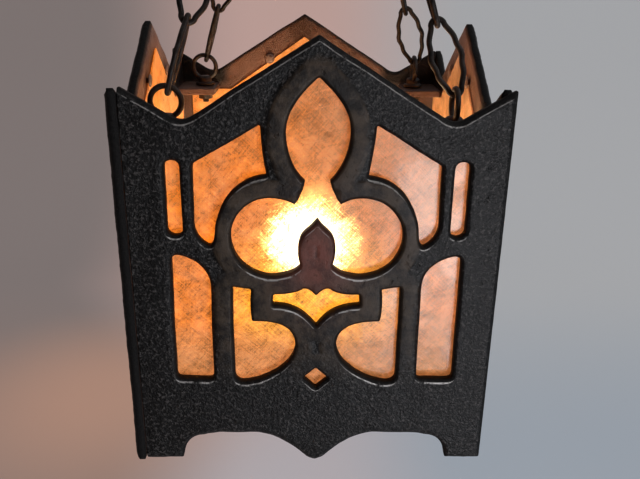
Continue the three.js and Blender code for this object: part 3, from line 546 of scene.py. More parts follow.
def panel_surface(seed):
    """A panel in its own plane. The band round the ornament stands proud by a smooth step of the distance to
    it; the whole casting is uneven by ripples that only ever take metal away, and its edges wander."""
    plan = panel_plan.plan
    step = smooth_step((BAND_EDGE[2] - ornament_gap) / (BAND_EDGE[2] - BAND_EDGE[0]))
    step = step * smooth_step((plan[:, 1] - BAND_FADE[0]) / (BAND_FADE[1] - BAND_FADE[0]))
    uneven = np.minimum(ripples(plan, seed, *RELIEF_RIPPLES), 0.4)
    relief = BAND_RISE * (step - 1) - 0.4 + uneven * (1 - 0.5 * step)
    # Heat browning round the middle, partly a painted glare; the finish also gives it a faint painted glow.
    from_heat_and_glare = np.linalg.norm((plan - HEAT_AND_GLARE_CENTRE) * (1.4, 1), axis=1)
    scorch = np.exp(-((from_heat_and_glare / HEAT_AND_GLARE_REACH) ** 2))
    casting = panel_plan.solid(PANEL_THICKNESS, relief, band=step, scorch=scorch)
    points = casting.points
    wander = np.zeros((len(points), 2))
    for layer, (amount, lengths) in enumerate(EDGE_WANDER):
        for axis, length in enumerate(lengths):
            wander[:, axis] += amount * ripple(points, length, seed + 3 + 2 * layer + axis)
    wander[:, 0] *= np.clip((panel_half - np.abs(points[:, 0])) / 6, 0, 1)
    wander[:, 1] *= np.clip(np.minimum(points[:, 1] + POINT_DROP, PEAK - points[:, 1]) / 6, 0, 1)
    points[:, :2] += wander
    points[:, 0] = np.clip(points[:, 0], BUTT_END, panel_half - 0.02)
    points[:, 1] = np.clip(points[:, 1], -POINT_DROP, PEAK)
    back = slice(len(plan), None)
    points[back, 2] += 0.3 - np.minimum(ripples(plan, seed + 7, *BACK_RIPPLES), 0.3)
    # Painted shadow: above the corner plates the back face loses its rust and stays near black, as if shaded
    # from the bulb by the plates.
    plate_shadow = np.clip((np.abs(plan[:, 0]) - 68) / 9, 0, 1)
    plate_shadow = plate_shadow * np.clip((plan[:, 1] - PLATE_TOP + 6) / 8, 0, 1)
    casting.marks["back"][back] *= 1 - 0.92 * plate_shadow
    return casting


SIDE_STUD_SHARES, GABLE_STUD_SHARE = (0.2, 0.75), 0.45
STUD_RADIUS = 4.5


def stud_places():
    """Studs beside, below and along the gable of the mica, as in the solid."""
    beside_sheet = 2 + FIT
    half = inner_half - PANEL_THICKNESS / 2 - MICA_MARGIN
    peak, shoulder = PEAK - MICA_PEAK_DROP, PLATE_TOP - PLATE_THICKNESS - 2 * FIT
    shoulder_at = inner_half - PLATE_DEPTH - 2 * FIT - PANEL_THICKNESS / 2
    run = np.array([shoulder_at, shoulder - peak])
    outward = np.array([-run[1], run[0]]) / np.linalg.norm(run) * beside_sheet
    places = [(half * 2 / 3, MICA_BOTTOM - beside_sheet)]
    for share in SIDE_STUD_SHARES:
        places.append((half + beside_sheet, MICA_BOTTOM + share * (shoulder - MICA_BOTTOM)))
    places.append(tuple((0, peak) + run * GABLE_STUD_SHARE + outward))
    return [(side * u, v) for u, v in places for side in (1, -1)]


def stud_surface():
    """A peened stud: a short shank under a shallow dome, radius times cos a by depth 1.15 sin a."""
    under = -MICA_THICKNESS - 2 * FIT
    rise = np.radians(np.linspace(90, 0, 6))
    dome = [(STUD_RADIUS * math.cos(a), under - 0.35 - 1.15 * math.sin(a)) for a in rise]
    return turned([*dome, (STUD_RADIUS, under), (2, under), (2, 1), (0, 1)], 24, back=1, wear=0.7)


# Meshes


def mesh_of(name, surface):
    mesh = bpy.data.meshes.new(name)
    faces = [face for group in surface.faces for face in group.tolist()]
    mesh.from_pydata((surface.points * MM).tolist(), [], faces)
    return mesh


def make_piece(name, surface, slot, body, node, sharp=40):
    """An object for a surface, in its slot's finish, riding on a body and standing for a solid."""
    mesh = mesh_of(name, surface)
    for mark, values in surface.marks.items():
        layer = mesh.attributes.new(mark, "FLOAT", "POINT")
        layer.data.foreach_set("value", np.asarray(values, np.float32))
    loose = bmesh.new()
    loose.from_mesh(mesh)
    bmesh.ops.remove_doubles(loose, verts=loose.verts, dist=2e-6)
    bmesh.ops.dissolve_degenerate(loose, edges=loose.edges, dist=1e-7)
    loose.to_mesh(mesh)
    loose.free()
    mesh.shade_smooth()
    if sharp:
        mesh.set_sharp_from_angle(angle=math.radians(sharp))
    mesh.materials.append(finishes[slot])
    piece = bpy.data.objects.new(name, mesh)
    bpy.context.scene.collection.objects.link(piece)
    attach(piece, body)
    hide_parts(node)


# Finishes


class Signal:
    """A node's output that takes part in sums and products; each operation adds its Math node."""

    def __init__(self, bench, socket):
        self.bench, self.socket = bench, socket

    def maths(self, operation, *terms):
        return self.bench.node("ShaderNodeMath", {"operation": operation}, dict(enumerate(terms))).out()

    def __add__(self, other):
        return self.maths("ADD", self, other)

    def __sub__(self, other):
        return self.maths("SUBTRACT", self, other)

    def __rsub__(self, other):
        return self.maths("SUBTRACT", other, self)

    def __mul__(self, other):
        return self.maths("MULTIPLY", self, other)

    def __rtruediv__(self, other):
        return self.maths("DIVIDE", other, self)

    def __pow__(self, other):
        return self.maths("POWER", self, other)

    __radd__, __rmul__ = __add__, __mul__

    def held(self):
        """The value held between 0 and 1."""
        return self.bench.node("ShaderNodeClamp", {}, {"Value": self}).out()

    def between(self, low, high):
        """0 where the value is at low, 1 at high, and a smooth step from one to the other."""
        values = {"Value": self, "From Min": low, "From Max": high}
        return self.bench.node("ShaderNodeMapRange", {"interpolation_type": "SMOOTHSTEP"}, values).out()


class Placed:
    """A node in place, whose outputs are signals."""

    def __init__(self, bench, node):
        self.bench, self.node = bench, node

    def out(self, name=0):
        return Signal(self.bench, self.node.outputs[name])


class Bench:
    """One material or world, with its nodes."""

    def __init__(self, owner):
        owner.use_nodes = True
        self.tree = owner.node_tree
        self.tree.nodes.clear()

    def node(self, kind, settings, values):
        """Adds a node: its settings first, then its sockets' values or links."""
        made = self.tree.nodes.new(kind)
        for name, value in settings.items():
            setattr(made, name, value)
        for name, value in values.items():
            if isinstance(value, Signal):
                self.tree.links.new(value.socket, made.inputs[name])
            else:
                made.inputs[name].default_value = value
        return Placed(self, made)

    def place(self):
        return self.node("ShaderNodeTexCoord", {}, {}).out("Object")

    def mark(self, name):
        """One of the mesh's own numbers per point."""
        return self.node("ShaderNodeAttribute", {"attribute_name": name}, {}).out("Fac")

    def noise(self, at, scale, detail=4.0, roughness=0.55, distortion=0.0):
        values = {"Vector": at, "Scale": scale, "Detail": detail, "Roughness": roughness}
        return self.node("ShaderNodeTexNoise", {}, {**values, "Distortion": distortion}).out("Fac")

    def pebbles(self, at, scale):
        values = {"Vector": at, "Scale": scale}
        return self.node("ShaderNodeTexVoronoi", {"feature": "SMOOTH_F1"}, values).out("Distance")

    def distance(self, at, to):
        values = {0: at, 1: tuple(to)}
        return self.node("ShaderNodeVectorMath", {"operation": "DISTANCE"}, values).out("Value")

    def dimmed(self, colour, level):
        """The colour times a level."""
        return self.node("ShaderNodeVectorMath", {"operation": "SCALE"}, {0: colour, "Scale": level}).out()

    def drawn_out(self, at, lengths, turn=0.0):
        """A place such that a pattern read there is stretched by lengths along axes turned about Z."""
        values = {"Vector": at, "Scale": lengths, "Rotation": (0, 0, turn)}
        return self.node("ShaderNodeMapping", {"vector_type": "TEXTURE"}, values).out()

    def mixed(self, share, first, second):
        """Colours first and second mixed by share."""
        colours = [colour if isinstance(colour, Signal) else (*colour, 1) for colour in (first, second)]
        values = {0: share, 6: colours[0], 7: colours[1]}
        return self.node("ShaderNodeMix", {"data_type": "RGBA"}, values).out(2)

    def bump(self, height, strength, distance):
        values = {"Height": height, "Strength": strength, "Distance": distance}
        return self.node("ShaderNodeBump", {}, values).out()

    def surface(self, **values):
        """The shader itself; a socket is named with underscores for spaces."""
        named = {name.replace("_", " "): value for name, value in values.items()}
        shader = self.node("ShaderNodeBsdfPrincipled", {}, named).out()
        self.node("ShaderNodeOutputMaterial", {}, {"Surface": shader})


def finish(name):
    return Bench(bpy.data.materials.new(name)), bpy.data.materials[name]


def cast_iron_finish():
    """Sand-cast iron painted black: pebbled and speckled, smoother and sooty brown on the ornament's band,
    reddened in the middle by heat and by a painted glare with a faint painted glow, rubbed bright along its
    ridges, partly as a painted highlight, near black on bevels and walls as painted shade, and rusty inside."""
    bench, material = finish("black cast iron")
    at = bench.place()
    lumps = bench.noise(at, 110, 4, 0.6)
    pebbles = bench.pebbles(at, 760)
    grain = bench.noise(at, 1500, 2, 0.6)
    sand = bench.noise(at, 430, 3, 0.72)
    patches = bench.noise(at, 28, 4, 0.55)
    pits = bench.noise(at, 210, 2, 0.5).between(0.68, 0.75)
    band, inner, scorch, soot = (bench.mark(name) for name in ("band", "back", "scorch", "soot"))
    stain = bench.noise(at, 75, 5, 0.68).between(0.36, 0.64)
    rubbed = bench.mark("wear").between(0.52, 0.84) * bench.noise(at, 170, 5, 0.7).between(0.36, 0.52)
    specks = sand.between(0.50, 0.66) * (1 - 0.75 * band)
    black = bench.mixed(specks, (0.0014, 0.0012, 0.0011), (0.076, 0.069, 0.066))
    sooty = bench.mixed(stain, (0.010, 0.0065, 0.0045), (0.092, 0.064, 0.043))
    rust = bench.mixed(patches.between(0.35, 0.65), (0.120, 0.062, 0.044), (0.240, 0.128, 0.094))
    colour = bench.mixed(band * 0.85, black, sooty)
    # Reddened round the middle: heat browning, and partly a painted glare.
    colour = bench.mixed((scorch * band * (0.45 + 0.5 * stain)).held(), colour, (0.15, 0.050, 0.038))
    # Painted shade: bevels and walls go near black.
    colour = bench.mixed(soot * 0.93, colour, (0.0030, 0.0024, 0.0022))
    # Rubbed edges: real wear, and partly a painted highlight line.
    colour = bench.mixed(rubbed * 0.95, colour, (0.52, 0.50, 0.48))
    colour = bench.mixed((inner * (0.55 + 0.45 * lumps)).held(), colour, rust)
    gloss = 0.32 + 0.08 * patches + 0.14 * sand + 0.04 * band + 0.35 * soot * (1 - inner) - 0.05 * rubbed
    height = (pebbles * 0.7 + grain * 0.4 + sand * 1.5) * (1 - 0.65 * band) + lumps * 0.7 - pits
    # Painted glow: a faint red emission round the middle stands in for the lamp's glare.
    glow = bench.dimmed((0.034, 0.0085, 0.0060), scorch * (1 - inner) * (0.5 + 0.6 * stain))
    bench.surface(
        Base_Color=colour,
        Metallic=0.65 * rubbed,
        Roughness=gloss,
        Normal=bench.bump(height, 0.55, 0.0006),
        Specular_IOR_Level=0.30,
        Emission_Color=glow,
        Emission_Strength=1.0,
    )
    return material


def forged_iron_finish():
    """Blackened steel with a brown bloom, smoother than the castings."""
    bench, material = finish("blackened forged iron")
    at = bench.place()
    scale = bench.noise(at, 180, 5, 0.6)
    grain = bench.noise(at, 1100, 3, 0.6)
    colour = bench.mixed(scale.between(0.35, 0.7), (0.014, 0.011, 0.010), (0.060, 0.036, 0.025))
    bench.surface(
        Base_Color=colour,
        Metallic=0.55 * scale + 0.2,
        Roughness=0.34 + 0.3 * grain,
        Normal=bench.bump(scale * 0.8 + grain * 0.4, 0.35, 0.0006),
    )
    return material


def chain_finish():
    """Bent wire, dark brown-black, worn brighter where links rub."""
    bench, material = finish("worn chain wire")
    at = bench.place()
    scale = bench.noise(at, 260, 5, 0.62)
    bloom = bench.noise(at, 60, 4, 0.55)
    grain = bench.noise(at, 1300, 2, 0.6)
    colour = bench.mixed(scale.between(0.3, 0.7), (0.0060, 0.0052, 0.0050), (0.030, 0.020, 0.016))
    rubbed = (bench.mark("wear") * bloom.between(0.4, 0.65)).held()
    colour = bench.mixed(rubbed, colour, (0.085, 0.068, 0.060))
    bench.surface(
        Base_Color=colour,
        Metallic=0.1 + 0.4 * bloom,
        Roughness=0.30 + 0.32 * scale,
        Normal=bench.bump(scale * 0.9 + grain * 0.3, 0.4, 0.0005),
        Specular_IOR_Level=0.3,
    )
    return material


def mica_finish(bulb):
    """Amber mica lit from behind, its light painted in: a glow that falls off with the distance to the bulb,
    dimmed above the bulb and dimmer and paler below it and to the right, white in a painted spot where the
    bulb shows through, woven of fine crossed fibres, smoky in places, under clouds of thicker flake that
    catch the room's light."""
    bench, material = finish("amber mica")
    at = bench.place()
    parts = bench.node("ShaderNodeSeparateXYZ", {}, {"Vector": at})
    along = parts.out("X") + parts.out("Y")
    sheet = bench.node("ShaderNodeCombineXYZ", {}, {"X": along, "Y": parts.out("Z"), "Z": 0.0}).out()

    def fibres(turn, scale):
        return bench.noise(bench.drawn_out(sheet, (1, 0.045, 1), turn), scale, 3, 0.65, 0.35) - 0.5

    def hairs(length, turn, scale, start):
        return bench.noise(bench.drawn_out(sheet, (1, length, 1), turn), scale, 1).between(start, 0.72)

    away = bench.distance(at, bulb)
    # Painted shade: the glow is dimmed above the bulb, and made dimmer and paler below it.
    above = (parts.out("Z") - bulb[2]).between(0.05, 0.14)
    below = (bulb[2] - parts.out("Z")).between(0.005, 0.045)
    side = parts.out("X").between(-0.07, 0.08)
    clouds = bench.noise(sheet, 19, 4, 0.55, 0.5)
    flakes = bench.noise(sheet, 62, 5, 0.62, 0.4)
    smoke = bench.noise(bench.drawn_out(sheet, (1, 0.45, 1), -0.5), 26, 4, 0.6, 0.6).between(0.52, 0.72)
    mottle = bench.noise(sheet, 700, 3, 0.7) - 0.5
    woven = 3.2 * fibres(0.9, 70) + 3.2 * fibres(-0.75, 75) + 2.2 * fibres(0.25, 60) + 1.8 * fibres(1.5, 64)
    hair = hairs(0.012, -0.62, 34, 0.66) + hairs(0.014, 0.55, 30, 0.66) + hairs(0.016, 1.15, 38, 0.67)
    leaf = woven + 1.0 * mottle + 0.9 * (flakes - 0.5)
    # Painted light: the glow falls off with the distance to the bulb.
    near = (0.118 / away) ** 4.0
    # Painted highlight: a white spot of the bulb's light on the mica, at a fixed height above the bulb.
    shine = bench.distance(at, (0, 0, bulb[2] + PAINTED_SPOT_RISE * MM))
    hot = (shine - 0.002 * leaf).between(0.1226, 0.1180)
    # The painted glow is deep amber to the left and paler and dimmer to the right.
    amber = bench.mixed(side, (0.84, 0.205, 0.006), (0.50, 0.196, 0.075))
    deep = bench.mixed(clouds.between(0.35, 0.68), amber, (0.56, 0.175, 0.050))
    painted_glow = bench.mixed(near.between(0.50, 0.95), deep, (0.98, 0.42, 0.030))
    painted_glow = bench.mixed(below, painted_glow, (0.66, 0.235, 0.070))
    painted_glow = bench.mixed(hot.between(0.0, 0.5), painted_glow, (1.0, 0.66, 0.16))
    painted_glow = bench.mixed(hot.between(0.35, 1.0), painted_glow, (1.0, 0.94, 0.72))
    level = (0.54 + 0.34 * near) * (1.14 - 0.29 * side) * (1 - 0.16 * above) * (1 - 0.34 * below)
    level = level * (1 + leaf) * (1 - 0.36 * smoke) + 0.30 * hair + 1.4 * hot
    base = bench.mixed(flakes.between(0.3, 0.7), (0.42, 0.20, 0.065), (0.74, 0.46, 0.22))
    normal = bench.bump(flakes + 0.5 * clouds + 0.3 * mottle + 0.4 * woven, 0.3, 0.0007)
    veil = (0.55 + 1.0 * clouds.between(0.60, 0.38)) * (0.06 + 0.94 * side)
    bench.surface(
        Base_Color=base,
        Roughness=0.26 + 0.10 * flakes,
        Normal=normal,
        Transmission_Weight=0.30,
        IOR=1.25,
        Specular_IOR_Level=0.15,
        Coat_Weight=veil.held(),
        Coat_Roughness=0.22,
        Coat_IOR=1.75,
        Emission_Color=bench.dimmed(painted_glow, level),
        Emission_Strength=0.9,
    )
    return material


def brass_finish():
    """Dull brass, darker in blotches."""
    bench, material = finish("dull brass")
    at = bench.place()
    blotch = bench.noise(at, 90, 5, 0.6)
    grain = bench.noise(bench.drawn_out(at, (1, 1, 0.1)), 420, 3)
    colour = bench.mixed(blotch.between(0.35, 0.7), (0.50, 0.35, 0.15), (0.20, 0.13, 0.065))
    normal = bench.bump(grain, 0.12, 0.0003)
    bench.surface(Base_Color=colour, Metallic=0.95, Roughness=0.26 + 0.25 * blotch, Normal=normal)
    return material


def aluminium_finish():
    """Rolled aluminium with a fine grain round the base."""
    bench, material = finish("rolled aluminium")
    at = bench.place()
    grain = bench.noise(bench.drawn_out(at, (1, 1, 0.07)), 300, 3)
    dull = bench.noise(at, 160, 4)
    colour = bench.mixed(dull.between(0.3, 0.75), (0.72, 0.72, 0.70), (0.42, 0.41, 0.40))
    normal = bench.bump(grain, 0.1, 0.0002)
    bench.surface(Base_Color=colour, Metallic=0.95, Roughness=0.24 + 0.2 * dull, Normal=normal)
    return material


def bulb_finish(bulb):
    """Frosted glass, lit: white-hot round the middle of the globe and yellower at its neck."""
    bench, material = finish("lit frosted glass")
    at = bench.place()
    away = bench.distance(at, bulb)
    frost = bench.noise(at, 700, 3)
    colour = bench.mixed(away.between(0.028, 0.062), (1.0, 0.86, 0.60), (1.0, 0.62, 0.30))
    bench.surface(
        Base_Color=(0.9, 0.85, 0.75, 1),
        Roughness=0.35 + 0.15 * frost,
        Normal=bench.bump(frost, 0.1, 0.0002),
        Emission_Color=colour,
        Emission_Strength=30.0,
    )
    return material


# Height of the painted white spot of the bulb's light on the mica.
PAINTED_SPOT_RISE = 46  # how far above the bulb the white spot sits on the mica
GLOBE_RADIUS = 30
glass_low, glass_high = heights("bulb_glass")
globe_height = glass_low + GLOBE_RADIUS
globe = (0, 0, globe_height * MM)

mica = mica_finish(globe)
finishes = {
    "cast_iron": cast_iron_finish(),
    "forged_iron": forged_iron_finish(),
    "chain_iron": chain_finish(),
    "brass": brass_finish(),
    "aluminium": aluminium_finish(),
    "bulb_glass": bulb_finish(globe),
}


# Panels and mica

for quarter, wall in enumerate(WALLS):
    panel = panel_surface(11 + 20 * quarter)
    for u, v in stud_places():
        panel = panel + stud_surface().placed(at=(u, v, 0))
    stood = panel.placed(UPRIGHT, (PANEL_THICKNESS / 2, -inner_half, sole))
    turned_wall = stood.placed(turn_z(90 * quarter))
    make_piece(f"cast_panel_{wall}", turned_wall, "cast_iron", "lantern", f"frame_panel_{wall}", sharp=0)
    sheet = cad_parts[f"mica_sheet_{wall}"]
    sheet.data.materials.clear()
    sheet.data.materials.append(mica)


# Corner hardware

EYE_RISE, EYE_RADIUS, EYE_WIRE = 16.3, 10.2, 2.0
BOLT_RADIUS, BOLT_PITCH = 3.1, 1.27
BOLT_HOLE = BOLT_RADIUS + FIT
BOLT_NUT_WIDTH, BOLT_NUT_HEIGHT = 11.1, 5.6
COLLAR = [(0, FIT), (8.2, FIT), (8.2, 2.8), (6.1, 3.4), (6.1, 7), (4.3, 8.5), (0, 8.5)]


def eye_bolt_surface(eye_turn, stack):
    """A wire eye, thinned a little by its bending, over a turned collar, with a rolled thread below."""
    angle = round_angles(56)
    thickness = EYE_WIRE * (1 - 0.04 + 0.04 * np.cos(angle * 3 + 1) - 0.05 * np.sin(angle) ** 8)
    eye = wire(circle(EYE_RADIUS, 56), thickness, 14)
    eye = eye.placed(UPRIGHT).placed(turn_z(eye_turn), (0, 0, EYE_RISE))
    tail = -stack - BOLT_NUT_HEIGHT - 3
    shank = turned([(0, tail + 6), (2.9, tail + 6), (2.9, FIT + 1), (0, FIT + 1)], 24)
    thread = screw_thread(2.45, BOLT_RADIUS - 0.02, BOLT_PITCH, tail + 0.02, -PLATE_THICKNESS + 1)
    return eye + turned(eased(COLLAR, 0.7), 40) + shank + skin(ended(thread))


def corner_plate_surface(toward_x, toward_y):
    """A flat plate with worn corners and a bolt hole, its face uneven by a ripple."""
    inset = 23.5 - FIT
    x, y = toward_x * (inset - PLATE_WIDTH / 2), toward_y * (inset - PLATE_DEPTH / 2)
    half = np.array([PLATE_WIDTH, PLATE_DEPTH]) / 2
    corners = [np.array([x, y]) + half * signs for signs in ((-1, -1), (1, -1), (1, 1), (-1, 1), (-1, -1))]
    outline = softened(distinct(trace(*corners, spacing=1.4)), 4)
    plan = Casting(outline, [arc((0, 0), BOLT_HOLE, 0, 360)], (1.2, 0.5), 3.4)
    uneven = 0.15 * ripple(plan.plan, 9, 71 + toward_x + 2 * toward_y) - 0.2
    plate = plan.solid(PLATE_THICKNESS, uneven, 1.0).placed(at=(0, 0, -PLATE_THICKNESS))
    plate.marks["back"] = np.full(len(plate.points), 0.8)
    return plate


for corner, (x, y) in CORNERS.items():
    bolt_low, bolt_high = span(f"eye_bolt_{corner}")
    centre = (bolt_low + bolt_high) / 2
    at = np.array([centre[0], centre[1], sole + PLATE_TOP])
    stack = PLATE_THICKNESS + FIT + (STRAP_THICKNESS + FIT if x == y else 0)
    bolt = eye_bolt_surface(0 if x < 0 else 90, stack).placed(at=at)
    make_piece(f"forged_eye_{corner}", bolt, "forged_iron", "lantern", f"eye_bolt_{corner}")
    plate = corner_plate_surface(x, y).placed(at=at)
    make_piece(f"cast_corner_{corner}", plate, "cast_iron", "lantern", f"corner_plate_{corner}")
    nut = hex_nut(BOLT_NUT_WIDTH, BOLT_RADIUS + 0.05, -stack - BOLT_NUT_HEIGHT, -stack)
    nut = nut.placed(turn_z(17 * x + 8 * y), at)
    make_piece(f"bolt_nut_{corner}", nut, "forged_iron", "lantern", f"hex_nut_{corner}", 25)


# Chains

LINK_CORNERS = [(25.3, 1.63), (22.9, 4.1), (19.8, 4.9), (12.65, 8.2), (6.3, 8.9), (0, 10.4)]


def link_surface():
    """A wavy link: a smooth loop through the solid's own corners. At a distance d from the butt weld on one
    side the wire swells by 0.13 exp(-(d / 1.9)^2), less a narrower seam."""
    quarter = np.array(LINK_CORNERS)
    half = np.vstack([quarter, quarter[-2::-1] * (-1, 1)])
    path = smooth_loop(np.vstack([half, half[::-1] * (1, -1)]), 5)
    from_weld = np.linalg.norm(path - LINK_CORNERS[-1], axis=1)
    swelling = 0.13 * np.exp(-((from_weld / 1.9) ** 2)) - 0.16 * np.exp(-((from_weld / 0.7) ** 2))
    link = wire(path, WIRE * (0.985 + swelling), 14)
    ends = np.clip((np.abs(link.points[:, 0]) - 19) / 6, 0, 1)
    link.marks["wear"] = np.maximum(ends, 0.25)
    return link


def link_frame(node):
    """The middle of a link's solid, and its own length, width and normal as the columns of a turn."""
    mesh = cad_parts[node].data
    points = np.empty(len(mesh.vertices) * 3)
    mesh.vertices.foreach_get("co", points)
    points = np.unique(points.reshape(-1, 3).round(6), axis=0) / MM
    middle = points.mean(axis=0)
    length, width, _ = np.linalg.svd(points - middle, full_matrices=False)[2]
    return middle, np.column_stack([length, width, np.cross(length, width)])


link_shape = link_surface()
for corner in CORNERS:
    for number in range(1, LINKS + 1):
        node = f"chain_link_{corner}_{number}"
        middle, turn = link_frame(node)
        link = link_shape.placed(turn, middle)
        make_piece(f"wire_link_{corner}_{number}", link, "chain_iron", "lantern", node, 0)


# Ring, hook, swivel nut and ceiling plate

RING_RADIUS, RING_WIRE, RING_TURN = 30, 2.2, 45
HOOK_BEND, HOOK_WIRE, HOOK_TURN = 12, 3.0, -45
NUT_BORE, NUT_SLEEVE, NUT_HEAD = 4.5, 7.6, 4
CANOPY_RADIUS, CANOPY_THICKNESS, CANOPY_DISH = 44.9, 7.0, 4.0
SCREW_AT, SCREW_HOLE = 32, 2.65

ring_centre = sum(heights("master_ring")) / 2
from_weld = round_angles(110) - 0.9
weld = np.exp(-((from_weld / 0.06) ** 2)) - 0.9 * np.exp(-((from_weld / 0.022) ** 2))
ring = wire(circle(RING_RADIUS, 110), RING_WIRE * (0.98 + 0.1 * weld), 16)
ring = ring.placed(UPRIGHT).placed(turn_z(RING_TURN), (0, 0, ring_centre))
make_piece("forged_ring", ring, "forged_iron", "ring", "master_ring", 0)

hook_low, hook_top = heights("ceiling_hook")
hook_centre = hook_low + HOOK_WIRE + HOOK_BEND


def hook_surface():
    """A hook bent from rod: down the shank, out by a small bend, and round three quarters of a circle."""
    turn = np.radians(np.linspace(58, 90 - 295, 44))
    bend = HOOK_BEND * np.column_stack([np.cos(turn), np.sin(turn)])
    lead = trace((0, 21), (0, 17), (0, 13.5, 3.2, 13.2, *bend[0]), spacing=0.9)[:-1]
    path = np.vstack([lead, bend])
    share = np.linspace(0, 1, len(path))
    thickness = HOOK_WIRE * (0.99 - 0.22 * np.clip(share * 4 - 3, 0, 1) ** 2)
    thickness[:4] = HOOK_WIRE * np.array([1.25, 1.22, 1.12, 1.02])
    return wire(path, thickness, 18, closed=False)


head_bottom = hook_top - 5
shank_profile = [
    (0, hook_centre + 15), (3.9, hook_centre + 16), (3.9, head_bottom), (6.5, head_bottom),
    (6.5, hook_top), (0, hook_top),
]
hook = hook_surface().placed(UPRIGHT, (0, 0, hook_centre)) + turned(eased(shank_profile, 0.5), 32)
make_piece("forged_hook", hook.placed(turn_z(HOOK_TURN)), "forged_iron", "hook", "ceiling_hook")


def tube(bore, radius, low, high, sides):
    """A plain tube: its section is a rectangle from the bore to the radius."""
    return turned([(bore, low), (radius, low), (radius, high), (bore, high), (bore, low)], sides)


nut_low, nut_high = heights("swivel_nut")
swivel = hex_nut(19, NUT_BORE, nut_low, nut_low + NUT_HEAD)
swivel = swivel + tube(NUT_BORE, NUT_SLEEVE, nut_low + NUT_HEAD - 0.4, nut_high, 40)
make_piece("swivel_hex", swivel, "forged_iron", "ceiling", "swivel_nut", 25)


def ceiling_plate_surface():
    """A plate that falls off straight from r = 17 to its rim, with two countersunk holes and a boss."""
    holes = [arc((side * SCREW_AT, 0), SCREW_HOLE, 0, 360, 0.6) for side in (1, -1)]
    rim = arc((0, 0), CANOPY_RADIUS, 0, 360, 2.0)
    plan = Casting(rim, holes, (1.0, 0.4), 2.6, holes, (0.8, 1.6, 2.4))
    radius = np.linalg.norm(plan.plan, axis=1)
    dish = CANOPY_DISH * (1 - np.clip((radius - 17) / 25, 0, 1)) - CANOPY_DISH
    sink = -np.clip(2.5 - plan.hole_gap, 0, 2.5) * 0.9
    plate = plan.solid(CANOPY_THICKNESS, dish + sink, 0.3).placed(np.diag([1, -1, -1]))
    boss = [
        (8.05, -4), (8.05, -24.95), (12.2, -24.95), (12.9, -23.5), (12.9, -11), (17, -6.5),
        (17, -4), (8.05, -4),
    ]
    return plate + turned(eased(boss, 0.8), 64).flipped()


make_piece("cast_ceiling_plate", ceiling_plate_surface(), "cast_iron", "ceiling", "ceiling_plate")


# Lamp holder and bulb, heights from the solids

STRAP_HALF_WIDTH = 7.95
BOLT_REACH = 94.5 * math.sqrt(2)
NIPPLE_BORE, NIPPLE_ROOT, NIPPLE_CREST, NIPPLE_PITCH = 3.2, 4.6, 4.99, 0.94
BASE_ROOT, BASE_CREST, BASE_PITCH = 12.1, 12.98, 3.63

strap_end = arc((BOLT_REACH, 0), STRAP_HALF_WIDTH, -90, 90)
other_end = arc((-BOLT_REACH, 0), STRAP_HALF_WIDTH, 90, 270)
strap_outline = np.vstack([strap_end, other_end])
strap_outline = trace(strap_outline[0], *strap_outline[1:], strap_outline[0], spacing=1.6)
strap_holes = [arc((side * BOLT_REACH, 0), BOLT_HOLE, 0, 360) for side in (1, -1)]
strap_holes.append(arc((0, 0), 5.3, 0, 360))
strap_plan = Casting(strap_outline, strap_holes, (0.7, 0.3), 3.2)
strap = strap_plan.solid(STRAP_THICKNESS, -0.02, 1.0).placed(turn_z(45), (0, 0, heights("socket_strap")[0]))
make_piece("forged_strap", strap, "forged_iron", "lantern", "socket_strap")

low, top = heights("socket_nipple")
outside = screw_thread(NIPPLE_ROOT, NIPPLE_CREST, NIPPLE_PITCH, low, top, 40)
bore = round_grid(np.full((2, 1), NIPPLE_BORE), np.array([[top], [low]]), 40)
nipple = skin(np.concatenate([outside, bore]), rows_closed=True)
make_piece("threaded_nipple", nipple, "brass", "lantern", "socket_nipple")

lock = hex_nut(15.9, NIPPLE_CREST + 0.06, *heights("nipple_locknut"))
make_piece("lock_hex", lock, "forged_iron", "lantern", "nipple_locknut", 25)

low, top = heights("socket_cap")
cap_profile = [
    (5.3, top), (5.3, top - 6.3), (7.8, top - 8.4), (17.8, top - 15.75), (17.8, low), (18.9, low),
    (18.9, low + 2.2), (18.2, low + 2.8), (18.2, low + 4.4), (18.9, low + 5), (18.8, top - 14.7),
    (9.2, top - 5.2), (8, top), (5.3, top),
]
make_piece("brass_cap", turned(eased(cap_profile, 0.9), 72), "brass", "lantern", "socket_cap")

low, top = heights("socket_shell")
shell_profile = [
    (0, top - 7.5), (3.9, top - 7.5), (3.9, top - 5), (13.8, top - 5), (13.8, low), (18.2, low),
    (18.2, low + 2), (17, low + 3), (17, low + 8), (16.4, low + 9), (17, low + 10), (17, top),
    (0, top),
]
make_piece("brass_shell", turned(eased(shell_profile, 0.5), 72), "brass", "lantern", "socket_shell")

low, top = heights("bulb_contact")
contact = turned(eased([(0, low), (4.65, low), (4.3, top - 0.5), (2, top), (0, top)], 0.6), 32)
make_piece("solder_contact", contact, "brass", "bulb_contact", "bulb_contact")

low, top = heights("bulb_base")
shoulder = turned(eased([(0, top - 7.2), (12.2, top - 7.2), (12.4, top - 6), (4.7, top), (0, top)], 0.8), 64)
screw = skin(ended(screw_thread(BASE_ROOT, BASE_CREST, BASE_PITCH, low + 1.5, top - 6.6, 64, 14)))
rim = turned([(12.0, low + 1.8), (12.0, low), (12.6, low), (12.6, low + 1.8), (12.0, low + 1.8)], 64)
make_piece("screw_base", shoulder + screw + rim, "aluminium", "bulb", "bulb_base")


